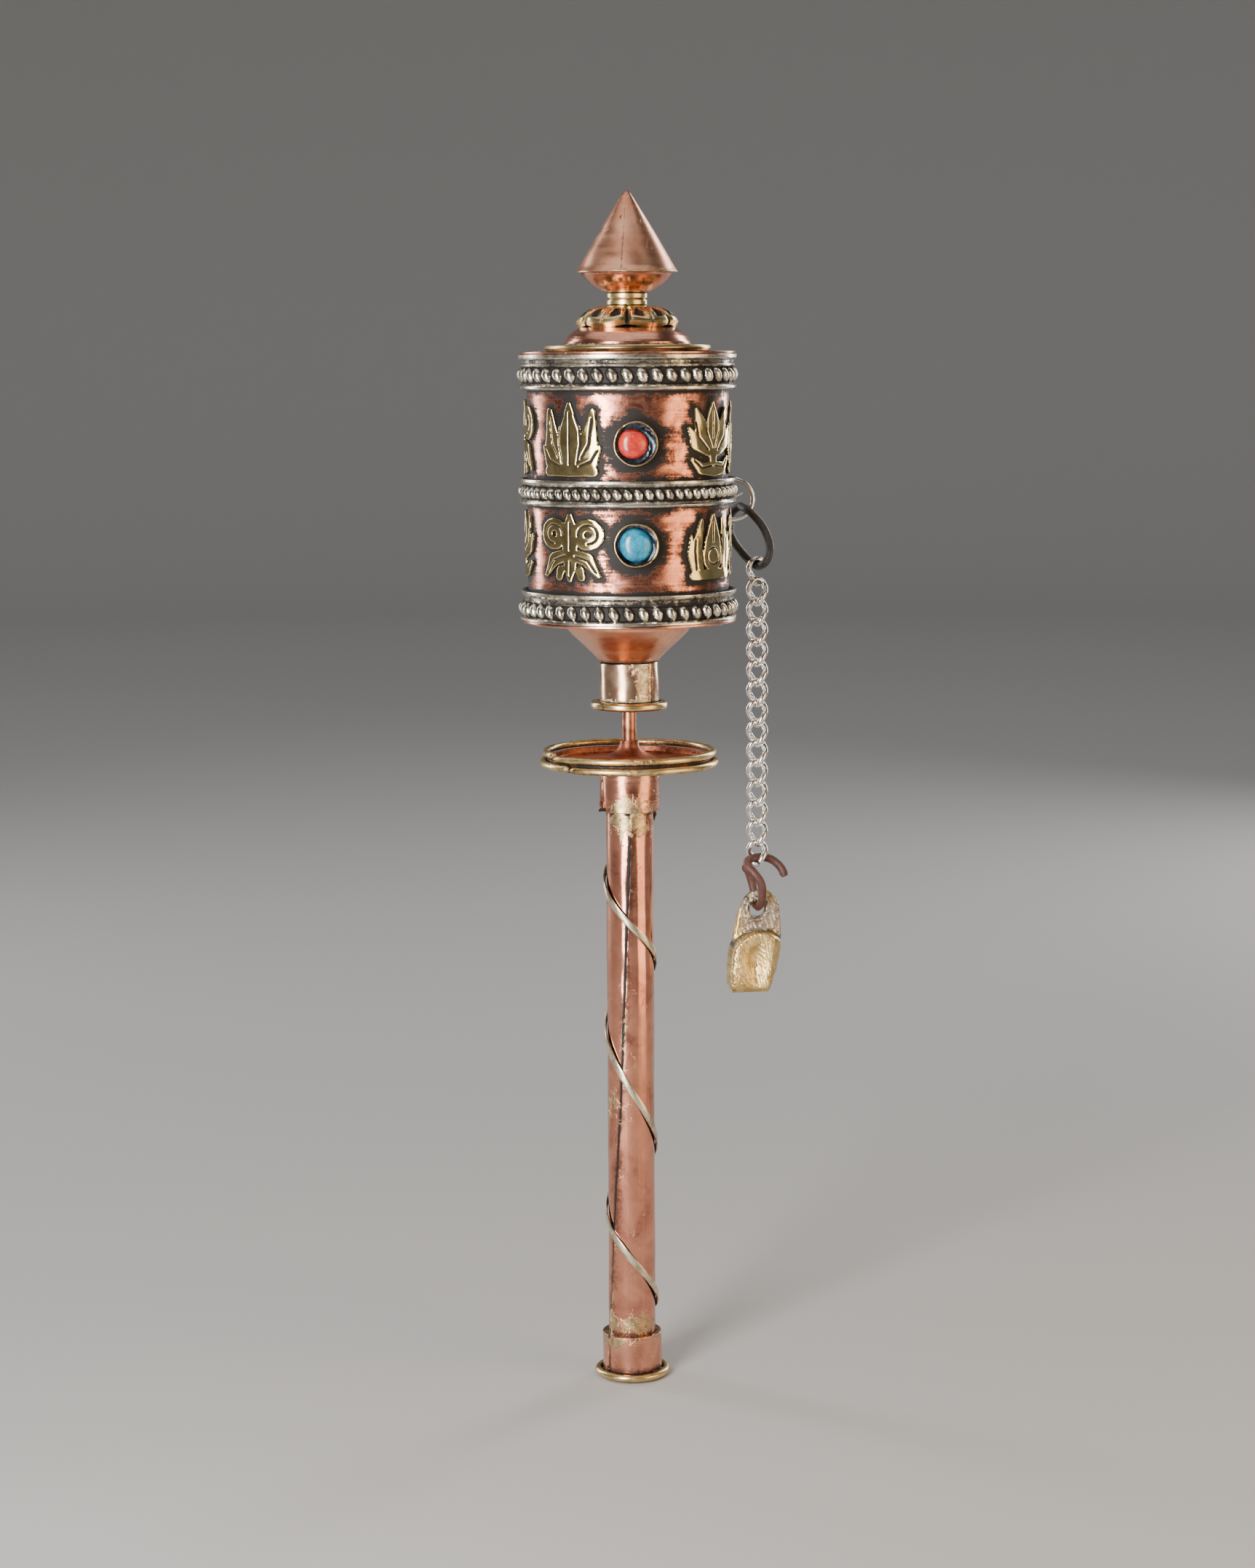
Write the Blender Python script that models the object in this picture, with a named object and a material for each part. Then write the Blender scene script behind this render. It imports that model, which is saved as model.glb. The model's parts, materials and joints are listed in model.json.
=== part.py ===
"""Hand-held prayer wheel of copper, brass and white metal, standing upright on its handle's axis.

The origin is the centre of the handle's flat bottom face, and +Z runs up through the spindle to the finial.
The chain hangs at the drum's +X side. Lengths below are millimetres, and MM turns them into Blender's metres.
"""

import math

import bmesh
import bpy
from mathutils import Vector

MM = 0.001
FIT = 0.08  # gap kept between two pieces that touch or are pressed together
ROUND = 28  # facets round a large turned piece
SMALL_ROUND = 18  # facets round a small turned piece

# Handle and spindle
SPINDLE_R = 1.42
SPINDLE_FOOT_Z = 84.0
SPINDLE_TOP_Z = 222.4
RUNNING_R = SPINDLE_R + 0.08  # bores that turn on the spindle
TUBE_R = 4.85
TUBE_WALL = 0.5
TUBE_Z = (1.4, 125.9)
FERRULE_R = 6.1
LOWER_FERRULE_Z = (1.4, 9.0)
UPPER_FERRULE_Z = (117.4, 126.2)
END_DISC_R = 6.0
END_DISC_HIGH = 1.3
END_RING_WIRE_R = 0.72
DISH_R = 16.5
DISH_Z = (126.3, 128.35)
DISH_FLOOR = 0.7
DISH_WALL = 0.5
GUARD_WIRE_R = 0.7
FILLET_Z = DISH_Z[0] + DISH_FLOOR + FIT
FILLET_SIDE = ((7.0, FILLET_Z), (6.9, 127.35), (5.2, 127.95), (3.9, 128.6), (2.55, 129.5), (1.95, 130.5), (1.8, 131.5))

# Drum
DRUM_R = 20.0
DRUM_WALL = 0.6
DRUM_Z = (156.2, 207.9)
BAND_R = 21.5
LOWER_BAND_Z = (156.2, 162.0)
MIDDLE_BAND_Z = (179.0, 184.0)
UPPER_BAND_Z = (201.3, 208.2)
HUB_R = 5.9
HUB_Z = (139.6, 147.4)
HUB_WASHER_R = 7.75
HUB_WASHER_Z = (137.9, 139.5)
BOWL_WALL = 0.5
STONE_ANGLES = (4.0, 184.0)  # degrees round from the front, towards +X
BEZEL_R = 4.3
BEZEL_WALL = 0.4
BEZEL_HIGH = 1.9
CORAL_Z = 191.2
CORAL_R = 2.9
TURQUOISE_Z = 171.8
TURQUOISE_R = 3.25

# Eye, cord loop, chain, tie and weight
EYE_RING_R = 4.25
EYE_WIRE_R = 0.45
EYE = (21.25, 14.0, 178.9)  # centre of the ring, which stands in the plane of X and Z
CORD_R = 0.85
CHAIN_X = 26.1
CHAIN_Y = 12.0
LINK_COUNT = 15
LINK_WIRE_R = 0.55
LINK_HALF_LONG = 2.64  # to the middle of the wire
LINK_HALF_WIDE = 1.7
LINK_TWIST = 45.0  # each end of a curb link is turned this far from the link's middle
CHAIN_ANGLE = -20.3  # degrees from +X of the plane of each link's middle
LINK_PITCH = 2 * (LINK_HALF_LONG - LINK_WIRE_R) - 0.05
LINK_TOP_Z = 167.05  # middle of the first link's wire
CHAIN_FOOT_Z = LINK_TOP_Z - 2 * LINK_HALF_LONG - (LINK_COUNT - 1) * LINK_PITCH
TIE_R = 0.9
TIE_TOP_Z = CHAIN_FOOT_Z + LINK_WIRE_R + TIE_R + 0.1
TIE_HIGH = 10.0
HOLE_R = 1.6
HOLE_Z = TIE_TOP_Z - TIE_HIGH + TIE_R + 0.05 - HOLE_R
WEIGHT_TURN = 8.0  # degrees that the weight's broad face is turned from the front

FINISHES = {
    # colour, roughness, metallic
    "copper": ((0.72, 0.36, 0.24), 0.28, 1.0),
    "dark_copper": ((0.45, 0.22, 0.15), 0.4, 1.0),
    "brass": ((0.78, 0.62, 0.30), 0.25, 1.0),
    "white_metal": ((0.66, 0.62, 0.52), 0.3, 1.0),
    "silver": ((0.80, 0.78, 0.75), 0.25, 1.0),
    "coral": ((0.75, 0.09, 0.05), 0.25, 0.0),
    "turquoise": ((0.05, 0.42, 0.60), 0.25, 0.0),
    "black_leather": ((0.03, 0.03, 0.03), 0.6, 0.0),
    "brown_leather": ((0.22, 0.06, 0.03), 0.55, 0.0),
    "wood": ((0.45, 0.28, 0.14), 0.7, 0.0),
    "paper": ((0.80, 0.72, 0.55), 0.85, 0.0),
    "cast_brass": ((0.62, 0.50, 0.30), 0.4, 1.0),
}


def clear_scene():
    for old in list(bpy.data.objects):
        bpy.data.objects.remove(old, do_unlink=True)


def finish_of(name):
    """The material of that name, made when it is first asked for."""
    material = bpy.data.materials.get(name)
    if material:
        return material
    colour, roughness, metallic = FINISHES[name]
    material = bpy.data.materials.new(name)
    material.use_nodes = True
    shader = material.node_tree.nodes["Principled BSDF"]
    shader.inputs["Base Color"].default_value = (*colour, 1.0)
    shader.inputs["Roughness"].default_value = roughness
    shader.inputs["Metallic"].default_value = metallic
    material.diffuse_color = (*colour, 1.0)
    return material


def add_object(name, data, finish):
    data.materials.append(finish_of(finish))
    made = bpy.data.objects.new(name, data)
    bpy.context.scene.collection.objects.link(made)
    return made


def object_from(name, bm, finish):
    """Turns a bmesh in millimetres into a shaded object in metres."""
    bmesh.ops.remove_doubles(bm, verts=bm.verts, dist=1e-4)
    bmesh.ops.recalc_face_normals(bm, faces=bm.faces)
    bmesh.ops.scale(bm, vec=(MM, MM, MM), verts=bm.verts)
    mesh = bpy.data.meshes.new(name)
    bm.to_mesh(mesh)
    bm.free()
    mesh.shade_smooth()
    mesh.set_sharp_from_angle(angle=math.radians(35))
    return add_object(name, mesh, finish)


def turned(name, outline, finish, steps=ROUND):
    """A solid turned about Z from a closed outline of (radius, height) points."""
    bm = bmesh.new()
    points = [bm.verts.new((r, 0, z)) for r, z in outline]
    edges = []
    for i, point in enumerate(points):
        after = points[(i + 1) % len(points)]
        if point.co.x > 0 or after.co.x > 0:
            edges.append(bm.edges.new((point, after)))
    bmesh.ops.spin(
        bm,
        geom=points + edges,
        cent=(0, 0, 0),
        axis=(0, 0, 1),
        angle=2 * math.pi,
        steps=steps,
    )
    return object_from(name, bm, finish)


def sleeve(name, inner, outer, low, high, finish, steps=ROUND):
    """A plain turned tube or washer."""
    outline = [(inner, low), (outer, low), (outer, high), (inner, high)]
    return turned(name, outline, finish, steps)


def shell(name, outside, wall, finish, steps=ROUND):
    """A sheet-metal cup turned from its outer profile, with its wall inside it."""
    inside = []
    last = len(outside) - 1
    for i, (r, z) in enumerate(outside):
        before = outside[max(i - 1, 0)]
        after = outside[min(i + 1, last)]
        along = Vector((after[0] - before[0], after[1] - before[1])).normalized()
        if i in (0, last):  # the edge of the sheet is cut square to the axis or along it
            steep = abs(along.y) > abs(along.x)
            along = Vector((0, 1)) if steep else Vector((math.copysign(1, along.x), 0))
        inside.append((r - along.y * wall, z + along.x * wall))
    return turned(name, outside + inside[::-1], finish, steps)


def wire(name, points, radius, finish, closed=False, resolution=1):
    """A round wire or cord along a list of points in millimetres, as a bevelled curve."""
    curve = bpy.data.curves.new(name, "CURVE")
    curve.dimensions = "3D"
    curve.bevel_depth = radius * MM
    curve.bevel_resolution = resolution
    curve.use_fill_caps = True
    spline = curve.splines.new("POLY")
    spline.points.add(len(points) - 1)
    for target, point in zip(spline.points, points):
        target.co = (*(Vector(point) * MM), 1.0)
    spline.use_cyclic_u = closed
    return add_object(name, curve, finish)


def wire_ring(name, ring_r, wire_r, z, finish, steps=ROUND):
    """A round wire bent into a ring about Z."""
    points = []
    for i in range(steps):
        angle = 2 * math.pi * i / steps
        points.append((ring_r * math.cos(angle), ring_r * math.sin(angle), z))
    return wire(name, points, wire_r, finish, closed=True)


def place_on_drum(piece, angle, z, radius):
    """Turns a piece made about Z so that its top faces out of the drum, at an angle round from the front."""
    round_to = math.radians(angle)
    outwards = Vector((math.sin(round_to), -math.cos(round_to), 0))
    piece.rotation_euler = outwards.to_track_quat("Z", "Y").to_euler()
    piece.location = (outwards * radius + Vector((0, 0, z))) * MM


# ---------------------------------------------------------------- handle
def make_handle():
    turned(
        "end_disc",
        [(0, 0), (END_DISC_R, 0), (END_DISC_R, END_DISC_HIGH), (0, END_DISC_HIGH)],
        "copper",
        SMALL_ROUND,
    )
    ring_r = END_DISC_R + FIT + END_RING_WIRE_R + 0.1
    wire_ring("end_ring", ring_r, END_RING_WIRE_R, END_RING_WIRE_R + 0.05, "brass", SMALL_ROUND)
    sleeve(
        "lower_ferrule", TUBE_R + 0.35, FERRULE_R, *LOWER_FERRULE_Z, "copper", SMALL_ROUND
    )
    sleeve("handle_tube", TUBE_R - TUBE_WALL, TUBE_R, *TUBE_Z, "copper", SMALL_ROUND)
    core_r = TUBE_R - TUBE_WALL - FIT
    bore_r = SPINDLE_R + FIT
    bore_z = SPINDLE_FOOT_Z - FIT
    core = [(0, TUBE_Z[0]), (core_r, TUBE_Z[0]), (core_r, TUBE_Z[1]), (bore_r, TUBE_Z[1])]
    turned("handle_core", core + [(bore_r, bore_z), (0, bore_z)], "wood", SMALL_ROUND)
    upper = [
        (TUBE_R + FIT, UPPER_FERRULE_Z[0]),
        (FERRULE_R - 0.15, UPPER_FERRULE_Z[0]),
        (FERRULE_R - 0.05, UPPER_FERRULE_Z[1]),
        (TUBE_R + FIT, UPPER_FERRULE_Z[1]),
    ]
    turned("upper_ferrule", upper, "copper", SMALL_ROUND)


# Each half turn of the wire takes a different height, because it is wound by hand: (turn in degrees, height).
WINDING = [
    (-262, 116.6),
    (-90, 103.0),
    (90, 86.6),
    (270, 72.7),
    (450, 48.7),
    (630, 34.7),
    (810, 16.0),
    (900, 9.8),
]
WINDING_STEP = 12  # degrees
STRIP_WIDE = 1.35
STRIP_THICK = 0.5


def winding_height(turn):
    """Height of the winding at a turn, by smooth interpolation between the half turns."""
    turns = [t for t, _ in WINDING]
    heights = [z for _, z in WINDING]
    last = len(WINDING) - 1
    slopes = []
    for i in range(last + 1):
        lo, hi = max(i - 1, 0), min(i + 1, last)
        slopes.append((heights[hi] - heights[lo]) / (turns[hi] - turns[lo]))
    i = max(k for k in range(last) if turns[k] <= turn)
    span = turns[i + 1] - turns[i]
    s = (turn - turns[i]) / span
    return (
        heights[i] * (1 + 2 * s) * (1 - s) ** 2
        + slopes[i] * span * s * (1 - s) ** 2
        + heights[i + 1] * s * s * (3 - 2 * s)
        - slopes[i + 1] * span * s * s * (1 - s)
    )


def make_spiral_wire():
    """The flat white-metal wire wound down the handle, a left-hand spiral with a rectangular section."""
    bm = bmesh.new()
    rings = []
    first, last = WINDING[0][0], WINDING[-1][0]
    count = round((last - first) / WINDING_STEP)
    inner, outer = TUBE_R + FIT, TUBE_R + FIT + STRIP_THICK
    for n in range(count + 1):
        turn = first + (last - first) * n / count
        step = 0.5
        lo, hi = max(turn - step, first), min(turn + step, last)
        rise = (winding_height(hi) - winding_height(lo)) / (math.radians(hi - lo) * TUBE_R)
        slant = math.hypot(1, rise)
        ring = []
        for r, side in ((inner, -1), (outer, -1), (outer, 1), (inner, 1)):
            across = side * STRIP_WIDE / 2 / slant
            angle = math.radians(turn) - across * rise / TUBE_R
            z = winding_height(turn) + across
            ring.append(bm.verts.new((r * math.sin(angle), -r * math.cos(angle), z)))
        rings.append(ring)
    for a, b in zip(rings, rings[1:]):
        for k in range(4):
            bm.faces.new((a[k], a[(k + 1) % 4], b[(k + 1) % 4], b[k]))
    bm.faces.new(rings[0][::-1])
    bm.faces.new(rings[-1])
    object_from("spiral_wire", bm, "white_metal")


def make_guard():
    """The shallow dish between the handle and the drum, its two soldered wire rims and the cone of solder."""
    low, high = DISH_Z
    bore = SPINDLE_R + FIT
    floor = low + DISH_FLOOR
    dish = [(bore, low), (DISH_R, low), (DISH_R, high)]
    dish += [(DISH_R - DISH_WALL, high), (DISH_R - DISH_WALL, floor), (bore, floor)]
    turned("guard_dish", dish, "copper")
    lower_r = DISH_R + FIT + GUARD_WIRE_R
    wire_ring("guard_ring_lower", lower_r, GUARD_WIRE_R, low + 0.9, "brass")
    upper_z = high + FIT + GUARD_WIRE_R
    wire_ring("guard_ring_upper", DISH_R + 0.3, GUARD_WIRE_R, upper_z, "brass")
    fillet = [(bore, FILLET_Z), *FILLET_SIDE, (bore, FILLET_SIDE[-1][1])]
    turned("spindle_fillet", fillet, "dark_copper", SMALL_ROUND)


def make_spindle():
    rod = [
        (0, SPINDLE_FOOT_Z),
        (SPINDLE_R, SPINDLE_FOOT_Z),
        (SPINDLE_R, SPINDLE_TOP_Z - 0.5),
        (SPINDLE_R - 0.5, SPINDLE_TOP_Z),
        (0, SPINDLE_TOP_Z),
    ]
    turned("spindle_rod", rod, "dark_copper", SMALL_ROUND)
    sleeve("thrust_collar", SPINDLE_R + 0.03, 3.2, 140.2, 142.0, "brass", SMALL_ROUND)


# ---------------------------------------------------------------- drum
def band_outline(z_range, bead_proud):
    """A cast band: a flat flange, a groove that holds the beads, and a rounded lip above and below."""
    low, high = z_range
    tall = high - low
    inner = DRUM_R + FIT
    groove = BAND_R - 0.55
    return [
        (inner, low),
        (BAND_R, low),
        (BAND_R, low + 0.16 * tall),
        (groove, low + 0.24 * tall),
        (groove + bead_proud, low + 0.5 * tall),
        (groove, low + 0.74 * tall),
        (BAND_R, low + 0.82 * tall),
        (BAND_R, high),
        (inner, high),
    ]


def make_drum():
    sleeve("drum_shell", DRUM_R - DRUM_WALL, DRUM_R, *DRUM_Z, "copper")
    turned("lower_band", band_outline(LOWER_BAND_Z, 0.8), "white_metal")
    turned("middle_band", band_outline(MIDDLE_BAND_Z, 0.7), "white_metal")
    turned("upper_band", band_outline(UPPER_BAND_Z, 0.8), "white_metal")
    sleeve("base_plate", 4.0, BAND_R, LOWER_BAND_Z[0] - 0.65, LOWER_BAND_Z[0] - 0.05, "copper")

    top = LOWER_BAND_Z[0] - 0.65 - 0.05
    bowl = [(HUB_R, HUB_Z[1] + 0.15), (6.65, 148.45), (8.75, 150.5), (10.1, 151.7), (11.45, 153.0)]
    shell("lower_bowl", bowl + [(12.6, 154.4), (13.1, top)], BOWL_WALL, "copper")

    sleeve("hub_sleeve", HUB_R - 0.6, HUB_R, *HUB_Z, "copper", SMALL_ROUND)
    low, high = HUB_WASHER_Z
    edge = (high - low) / 2
    washer = [(RUNNING_R + 0.5, low), (HUB_WASHER_R - edge, low)]
    for i in range(1, 4):
        angle = math.pi * i / 4
        washer.append(
            (HUB_WASHER_R - edge + edge * math.sin(angle), low + edge - edge * math.cos(angle))
        )
    washer += [(HUB_WASHER_R - edge, high), (RUNNING_R + 0.5, high)]
    turned("hub_washer", washer, "brass", SMALL_ROUND)
    sleeve("lower_bush", RUNNING_R, HUB_R - 0.6 - FIT, 142.1, 147.2, "brass", SMALL_ROUND)

    sleeve("scroll_tube", RUNNING_R + 0.15, 2.2, 157.0, 203.5, "brass", SMALL_ROUND)
    sleeve("prayer_scroll", 2.2 + FIT, 18.6, 157.4, 201.5, "paper")


def make_stones():
    """Coral beads set in the upper panel and turquoise in the lower, each in a bezel of bent strip."""
    settings = (("coral", CORAL_Z, CORAL_R), ("turquoise", TURQUOISE_Z, TURQUOISE_R))
    for stone, z, stone_r in settings:
        for side, angle in zip(("front", "back"), STONE_ANGLES):
            outline = [(BEZEL_R - BEZEL_WALL, 0), (BEZEL_R, 0), (BEZEL_R, BEZEL_HIGH)]
            outline += [(BEZEL_R - BEZEL_WALL, BEZEL_HIGH)]
            bezel = turned(f"{stone}_bezel_{side}", outline, "brass", SMALL_ROUND)
            place_on_drum(bezel, angle, z, DRUM_R + FIT)
            dome = [(0, 0), (stone_r, 0), (stone_r, 0.8)]
            for i in range(1, 4):
                rise = math.pi / 2 * i / 4
                dome.append((stone_r * math.cos(rise), 0.8 + 1.6 * math.sin(rise)))
            bead = turned(f"{stone}_stone_{side}", dome + [(0, 2.4)], stone, SMALL_ROUND)
            place_on_drum(bead, angle, z, DRUM_R + FIT)


# ---------------------------------------------------------------- lid
def make_lid():
    """What lifts off together: plate with its spigot, rolled disc, dome, lotus collar and the bush under it."""
    low = UPPER_BAND_Z[1] + 0.05
    bore = RUNNING_R + 0.1
    spigot_r = DRUM_R - DRUM_WALL - 0.15
    plate = [(3.2, low), (spigot_r - 0.5, low), (spigot_r - 0.5, low - 5.0), (spigot_r, low - 5.0)]
    plate += [(spigot_r, low), (BAND_R - 0.1, low), (BAND_R - 0.1, low + 0.5), (3.2, low + 0.5)]
    turned("lid_plate", plate, "copper")
    disc_z = low + 0.5 + 0.05
    disc = [(5.0, disc_z), (16.1, disc_z), (16.45, disc_z + 0.3), (16.45, disc_z + 0.9)]
    disc += [(16.1, disc_z + 1.2), (5.0, disc_z + 1.2)]
    turned("lid_disc", disc, "brass")
    foot = disc_z + 1.25
    dome = [(12.6, foot), (12.2, foot + 1.1), (11.1, foot + 2.4), (9.6, foot + 3.3)]
    dome += [(6.8, foot + 4.2), (3.4, foot + 4.7)]
    shell("lid_dome", dome, 0.5, "copper")
    make_lotus_collar(217.0, bore)
    sleeve("upper_bush", RUNNING_R, 3.0, low - 2.6, low + 0.5, "brass", SMALL_ROUND)


PETALS = 6
PETAL_COLUMNS = 10  # columns of faces to a petal
COLLAR_RINGS = ((3.3, 0.6), (5.2, 0.3), (7.3, -0.5), (8.7, -1.6), (9.5, -2.55))


def make_lotus_collar(z, bore):
    """A stamped brass skirt of petals, with scalloped ribs and a pointed hem, over a short neck."""
    bm = bmesh.new()
    columns = PETALS * PETAL_COLUMNS
    thick = 0.45

    def ring(radius, height, ribs, hem):
        made = []
        for i in range(columns):
            angle = 2 * math.pi * i / columns
            crest = abs(math.sin(PETALS * (angle + math.pi / 2) / 2))
            r = radius + ribs * crest
            made.append(
                bm.verts.new((r * math.cos(angle), r * math.sin(angle), height - hem * crest))
            )
        return made

    outer = []
    for n, (radius, drop) in enumerate(COLLAR_RINGS):
        share = n / (len(COLLAR_RINGS) - 1)
        outer.append(ring(radius, z + drop, 0.35 * share, 0.5 * share**3))
    inner = []
    for n, (radius, drop) in enumerate(COLLAR_RINGS[1:]):
        share = (n + 1) / (len(COLLAR_RINGS) - 1)
        inner.append(
            ring(radius - 0.35 * share, z + drop - thick + 0.1 * share, 0.2 * share, 0.4 * share**3)
        )
    rows = [ring(bore, z + 0.6, 0, 0)] + outer + inner[::-1] + [ring(bore, z + 0.1, 0, 0)]
    for a, b in zip(rows, rows[1:] + rows[:1]):
        for i in range(columns):
            j = (i + 1) % columns
            bm.faces.new((a[i], a[j], b[j], b[i]))
    object_from("lotus_collar", bm, "brass")


# ---------------------------------------------------------------- finial
def make_finial():
    """A sheet cone closed by a bowl, on the neck that screws onto the spindle."""
    foot = 217.75
    neck = [(RUNNING_R, foot), (4.0, foot), (4.0, 218.8), (3.75, 218.95), (3.95, 219.1)]
    neck += [(3.95, 220.1), (RUNNING_R, 220.1)]
    turned("finial_neck", neck, "brass", SMALL_ROUND)
    bowl = [(RUNNING_R + 0.2, 220.2), (4.1, 220.2), (5.7, 220.9), (7.6, 222.2), (8.9, 223.6)]
    shell("finial_bowl", bowl + [(9.15, 224.2)], 0.45, "copper")
    cone_low, cone_top, cone_r = 224.1, 240.0, 10.1
    wall = 0.5
    cone = [(cone_r, cone_low), (0.55, cone_top - 0.5), (0, cone_top), (0, cone_top - 1.6)]
    cone += [(cone_r - wall - 0.2, cone_low + 0.15), (cone_r - 0.45, cone_low)]
    turned("finial_cone", cone, "copper")


# ---------------------------------------------------------------- eye, cords, chain and weight
def make_eye():
    """The white-metal ring soldered on edge to the middle band."""
    points = []
    for i in range(SMALL_ROUND):
        angle = 2 * math.pi * i / SMALL_ROUND
        x = EYE[0] + EYE_RING_R * math.cos(angle)
        points.append((x, EYE[1], EYE[2] + EYE_RING_R * math.sin(angle)))
    wire("chain_eye", points, EYE_WIRE_R, "silver", closed=True)


def smooth_route(points, start, per_span=2):
    """Points on a Catmull-Rom curve through a hand-chosen route that is measured from a starting place."""
    points = [Vector(start) + Vector(p) for p in points]
    route = [2 * points[0] - points[1]] + points + [2 * points[-1] - points[-2]]
    made = []
    for a, b, c, d in zip(route, route[1:], route[2:], route[3:]):
        for n in range(per_span):
            t = n / per_span
            made.append(
                0.5
                * (
                    2 * b
                    + (c - a) * t
                    + (2 * a - 5 * b + 4 * c - d) * t * t
                    + (3 * b - a - 3 * c + d) * t**3
                )
            )
    return made + [points[-1]]


# From the middle of the eye. Both ends lie side by side on the strand behind.
LOOP_ROUTE = [
    (-0.5, 3.7, -8.8),
    (-1.0, 3.8, -6.6),
    (-0.9, 3.2, -4.3),
    (0.2, 2.2, -2.5),
    (1.5, 1.2, -1.5),
    (2.2, 0.0, -1.7),
    (2.95, -1.35, -2.1),
    (4.3, -2.2, -3.3),
    (6.1, -2.7, -5.6),
    (7.2, -3.6, -8.4),
    (7.3, -4.6, -10.7),
    (6.3, -4.4, -12.7),
    (4.85, -2.0, -13.42),
    (3.6, 0.3, -12.6),
    (1.9, 1.2, -10.8),
    (0.3, 1.4, -8.6),
    (-0.7, 1.6, -6.4),
    (-0.8, 1.3, -4.6),
]
# From the top of the tie's bend in the last link. The tail stands out to the right.
TIE_ROUTE = [
    (5.8, 0.2, -3.9),
    (5.0, 0.9, -2.2),
    (3.4, 1.3, -0.8),
    (1.7, 0.8, -0.1),
    (0.0, 0.0, 0.0),
    (-1.6, -1.0, -0.3),
    (-1.9, -2.4, -1.4),
    (-0.5, -3.3, -2.9),
    (0.9, -3.5, -5.2),
    (0.9, -2.9, -8.3),
    (0.35, -1.7, -9.85),
    (0.05, 0.0, -10.03),
    (-0.25, 1.7, -9.85),
    (-0.3, 2.9, -8.3),
    (-0.9, 3.4, -5.6),
    (-1.6, 3.0, -3.4),
    (-2.4, 2.0, -2.2),
]


def make_cords():
    """The black leather loop that joins the eye to the chain, and the brown tie that holds the weight."""
    wire("cord_loop", smooth_route(LOOP_ROUTE, EYE), CORD_R, "black_leather", resolution=2)
    tie_top = (CHAIN_X, CHAIN_Y, TIE_TOP_Z)
    wire("weight_tie", smooth_route(TIE_ROUTE, tie_top), TIE_R, "brown_leather", resolution=2)


def link_points(centre_z):
    """The wire of one curb link: an oval whose plane turns from one end to the other."""
    steps = 12
    made = []
    for i in range(steps):
        t = 2 * math.pi * (i + 0.5) / steps
        along = math.cos(t)
        side = math.copysign(abs(math.sin(t)) ** 0.85, math.sin(t)) * LINK_HALF_WIDE
        turn = CHAIN_ANGLE + LINK_TWIST * max(-1.0, min(1.0, 1.5 * along))
        angle = math.radians(turn)
        made.append(
            (
                CHAIN_X + side * math.cos(angle),
                CHAIN_Y + side * math.sin(angle),
                centre_z + along * LINK_HALF_LONG,
            )
        )
    return made


def make_chain():
    for n in range(LINK_COUNT):
        centre = LINK_TOP_Z - LINK_HALF_LONG - n * LINK_PITCH
        points = link_points(centre)
        wire(f"chain_link_{n + 1:02d}", points, LINK_WIRE_R, "silver", closed=True)


# Sections of the weight: (height above its foot, left edge, right edge, half thickness)
WEIGHT_SECTIONS = [
    (0.0, -5.5, 2.0, 3.0),
    (0.9, -5.9, 2.7, 3.5),
    (4.5, -5.9, 4.0, 3.9),
    (8.6, -5.5, 4.9, 3.9),
    (11.6, -5.0, 5.05, 3.4),
    (13.2, -4.7, 5.0, 1.9),
    (15.5, -4.3, 4.95, 1.3),
    (18.5, -3.3, 4.4, 1.2),
    (20.4, -2.0, 3.4, 1.1),
    (21.2, -0.8, 2.4, 0.8),
]
WEIGHT_HOLE_HIGH = 17.1  # above the foot


def make_weight():
    """A cast brass lump: a thick block below, and a thin tongue above with the hole for the tie."""
    bm = bmesh.new()
    foot = HOLE_Z - WEIGHT_HOLE_HIGH
    turn = math.radians(WEIGHT_TURN)
    rings = []
    for height, left, right, half in WEIGHT_SECTIONS:
        corner = min(half, 1.1)
        ring = []
        outline = [(left, -half + corner), (left + corner, -half), (right - corner, -half)]
        outline += [(right, -half + corner), (right, half - corner), (right - corner, half)]
        outline += [(left + corner, half), (left, half - corner)]
        for across, out in outline:
            x = CHAIN_X + across * math.cos(turn) - out * math.sin(turn)
            y = CHAIN_Y + across * math.sin(turn) + out * math.cos(turn)
            ring.append(bm.verts.new((x, y, foot + height)))
        rings.append(ring)
    for a, b in zip(rings, rings[1:]):
        for k in range(8):
            bm.faces.new((a[k], a[(k + 1) % 8], b[(k + 1) % 8], b[k]))
    bm.faces.new(rings[0][::-1])
    bm.faces.new(rings[-1])
    weight = object_from("weight", bm, "cast_brass")

    drill = bmesh.new()
    bmesh.ops.create_cone(
        drill,
        cap_ends=True,
        segments=16,
        radius1=HOLE_R,
        radius2=HOLE_R,
        depth=12,
    )
    cutter = object_from("weight_drill", drill, "cast_brass")
    cutter.rotation_euler = (math.pi / 2, 0, turn)
    cutter.location = (CHAIN_X * MM, CHAIN_Y * MM, HOLE_Z * MM)
    cutter.hide_render = True
    cutter.display_type = "WIRE"
    hole = weight.modifiers.new("tie_hole", "BOOLEAN")
    hole.operation = "DIFFERENCE"
    hole.object = cutter


def main():
    clear_scene()
    make_handle()
    make_spiral_wire()
    make_guard()
    make_spindle()
    make_drum()
    make_stones()
    make_lid()
    make_finial()
    make_eye()
    make_cords()
    make_chain()
    make_weight()


main()
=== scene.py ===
"""A hand-held prayer wheel: a copper drum with beaded white-metal bands turns on a spindle above a wire-wound handle.

Lengths are millimetres until a mesh is written. Angles round the wheel start at the front (-Y) and grow towards +X.
"""

import json
import math

import bpy
import numpy as np
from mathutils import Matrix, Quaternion, Vector

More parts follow.
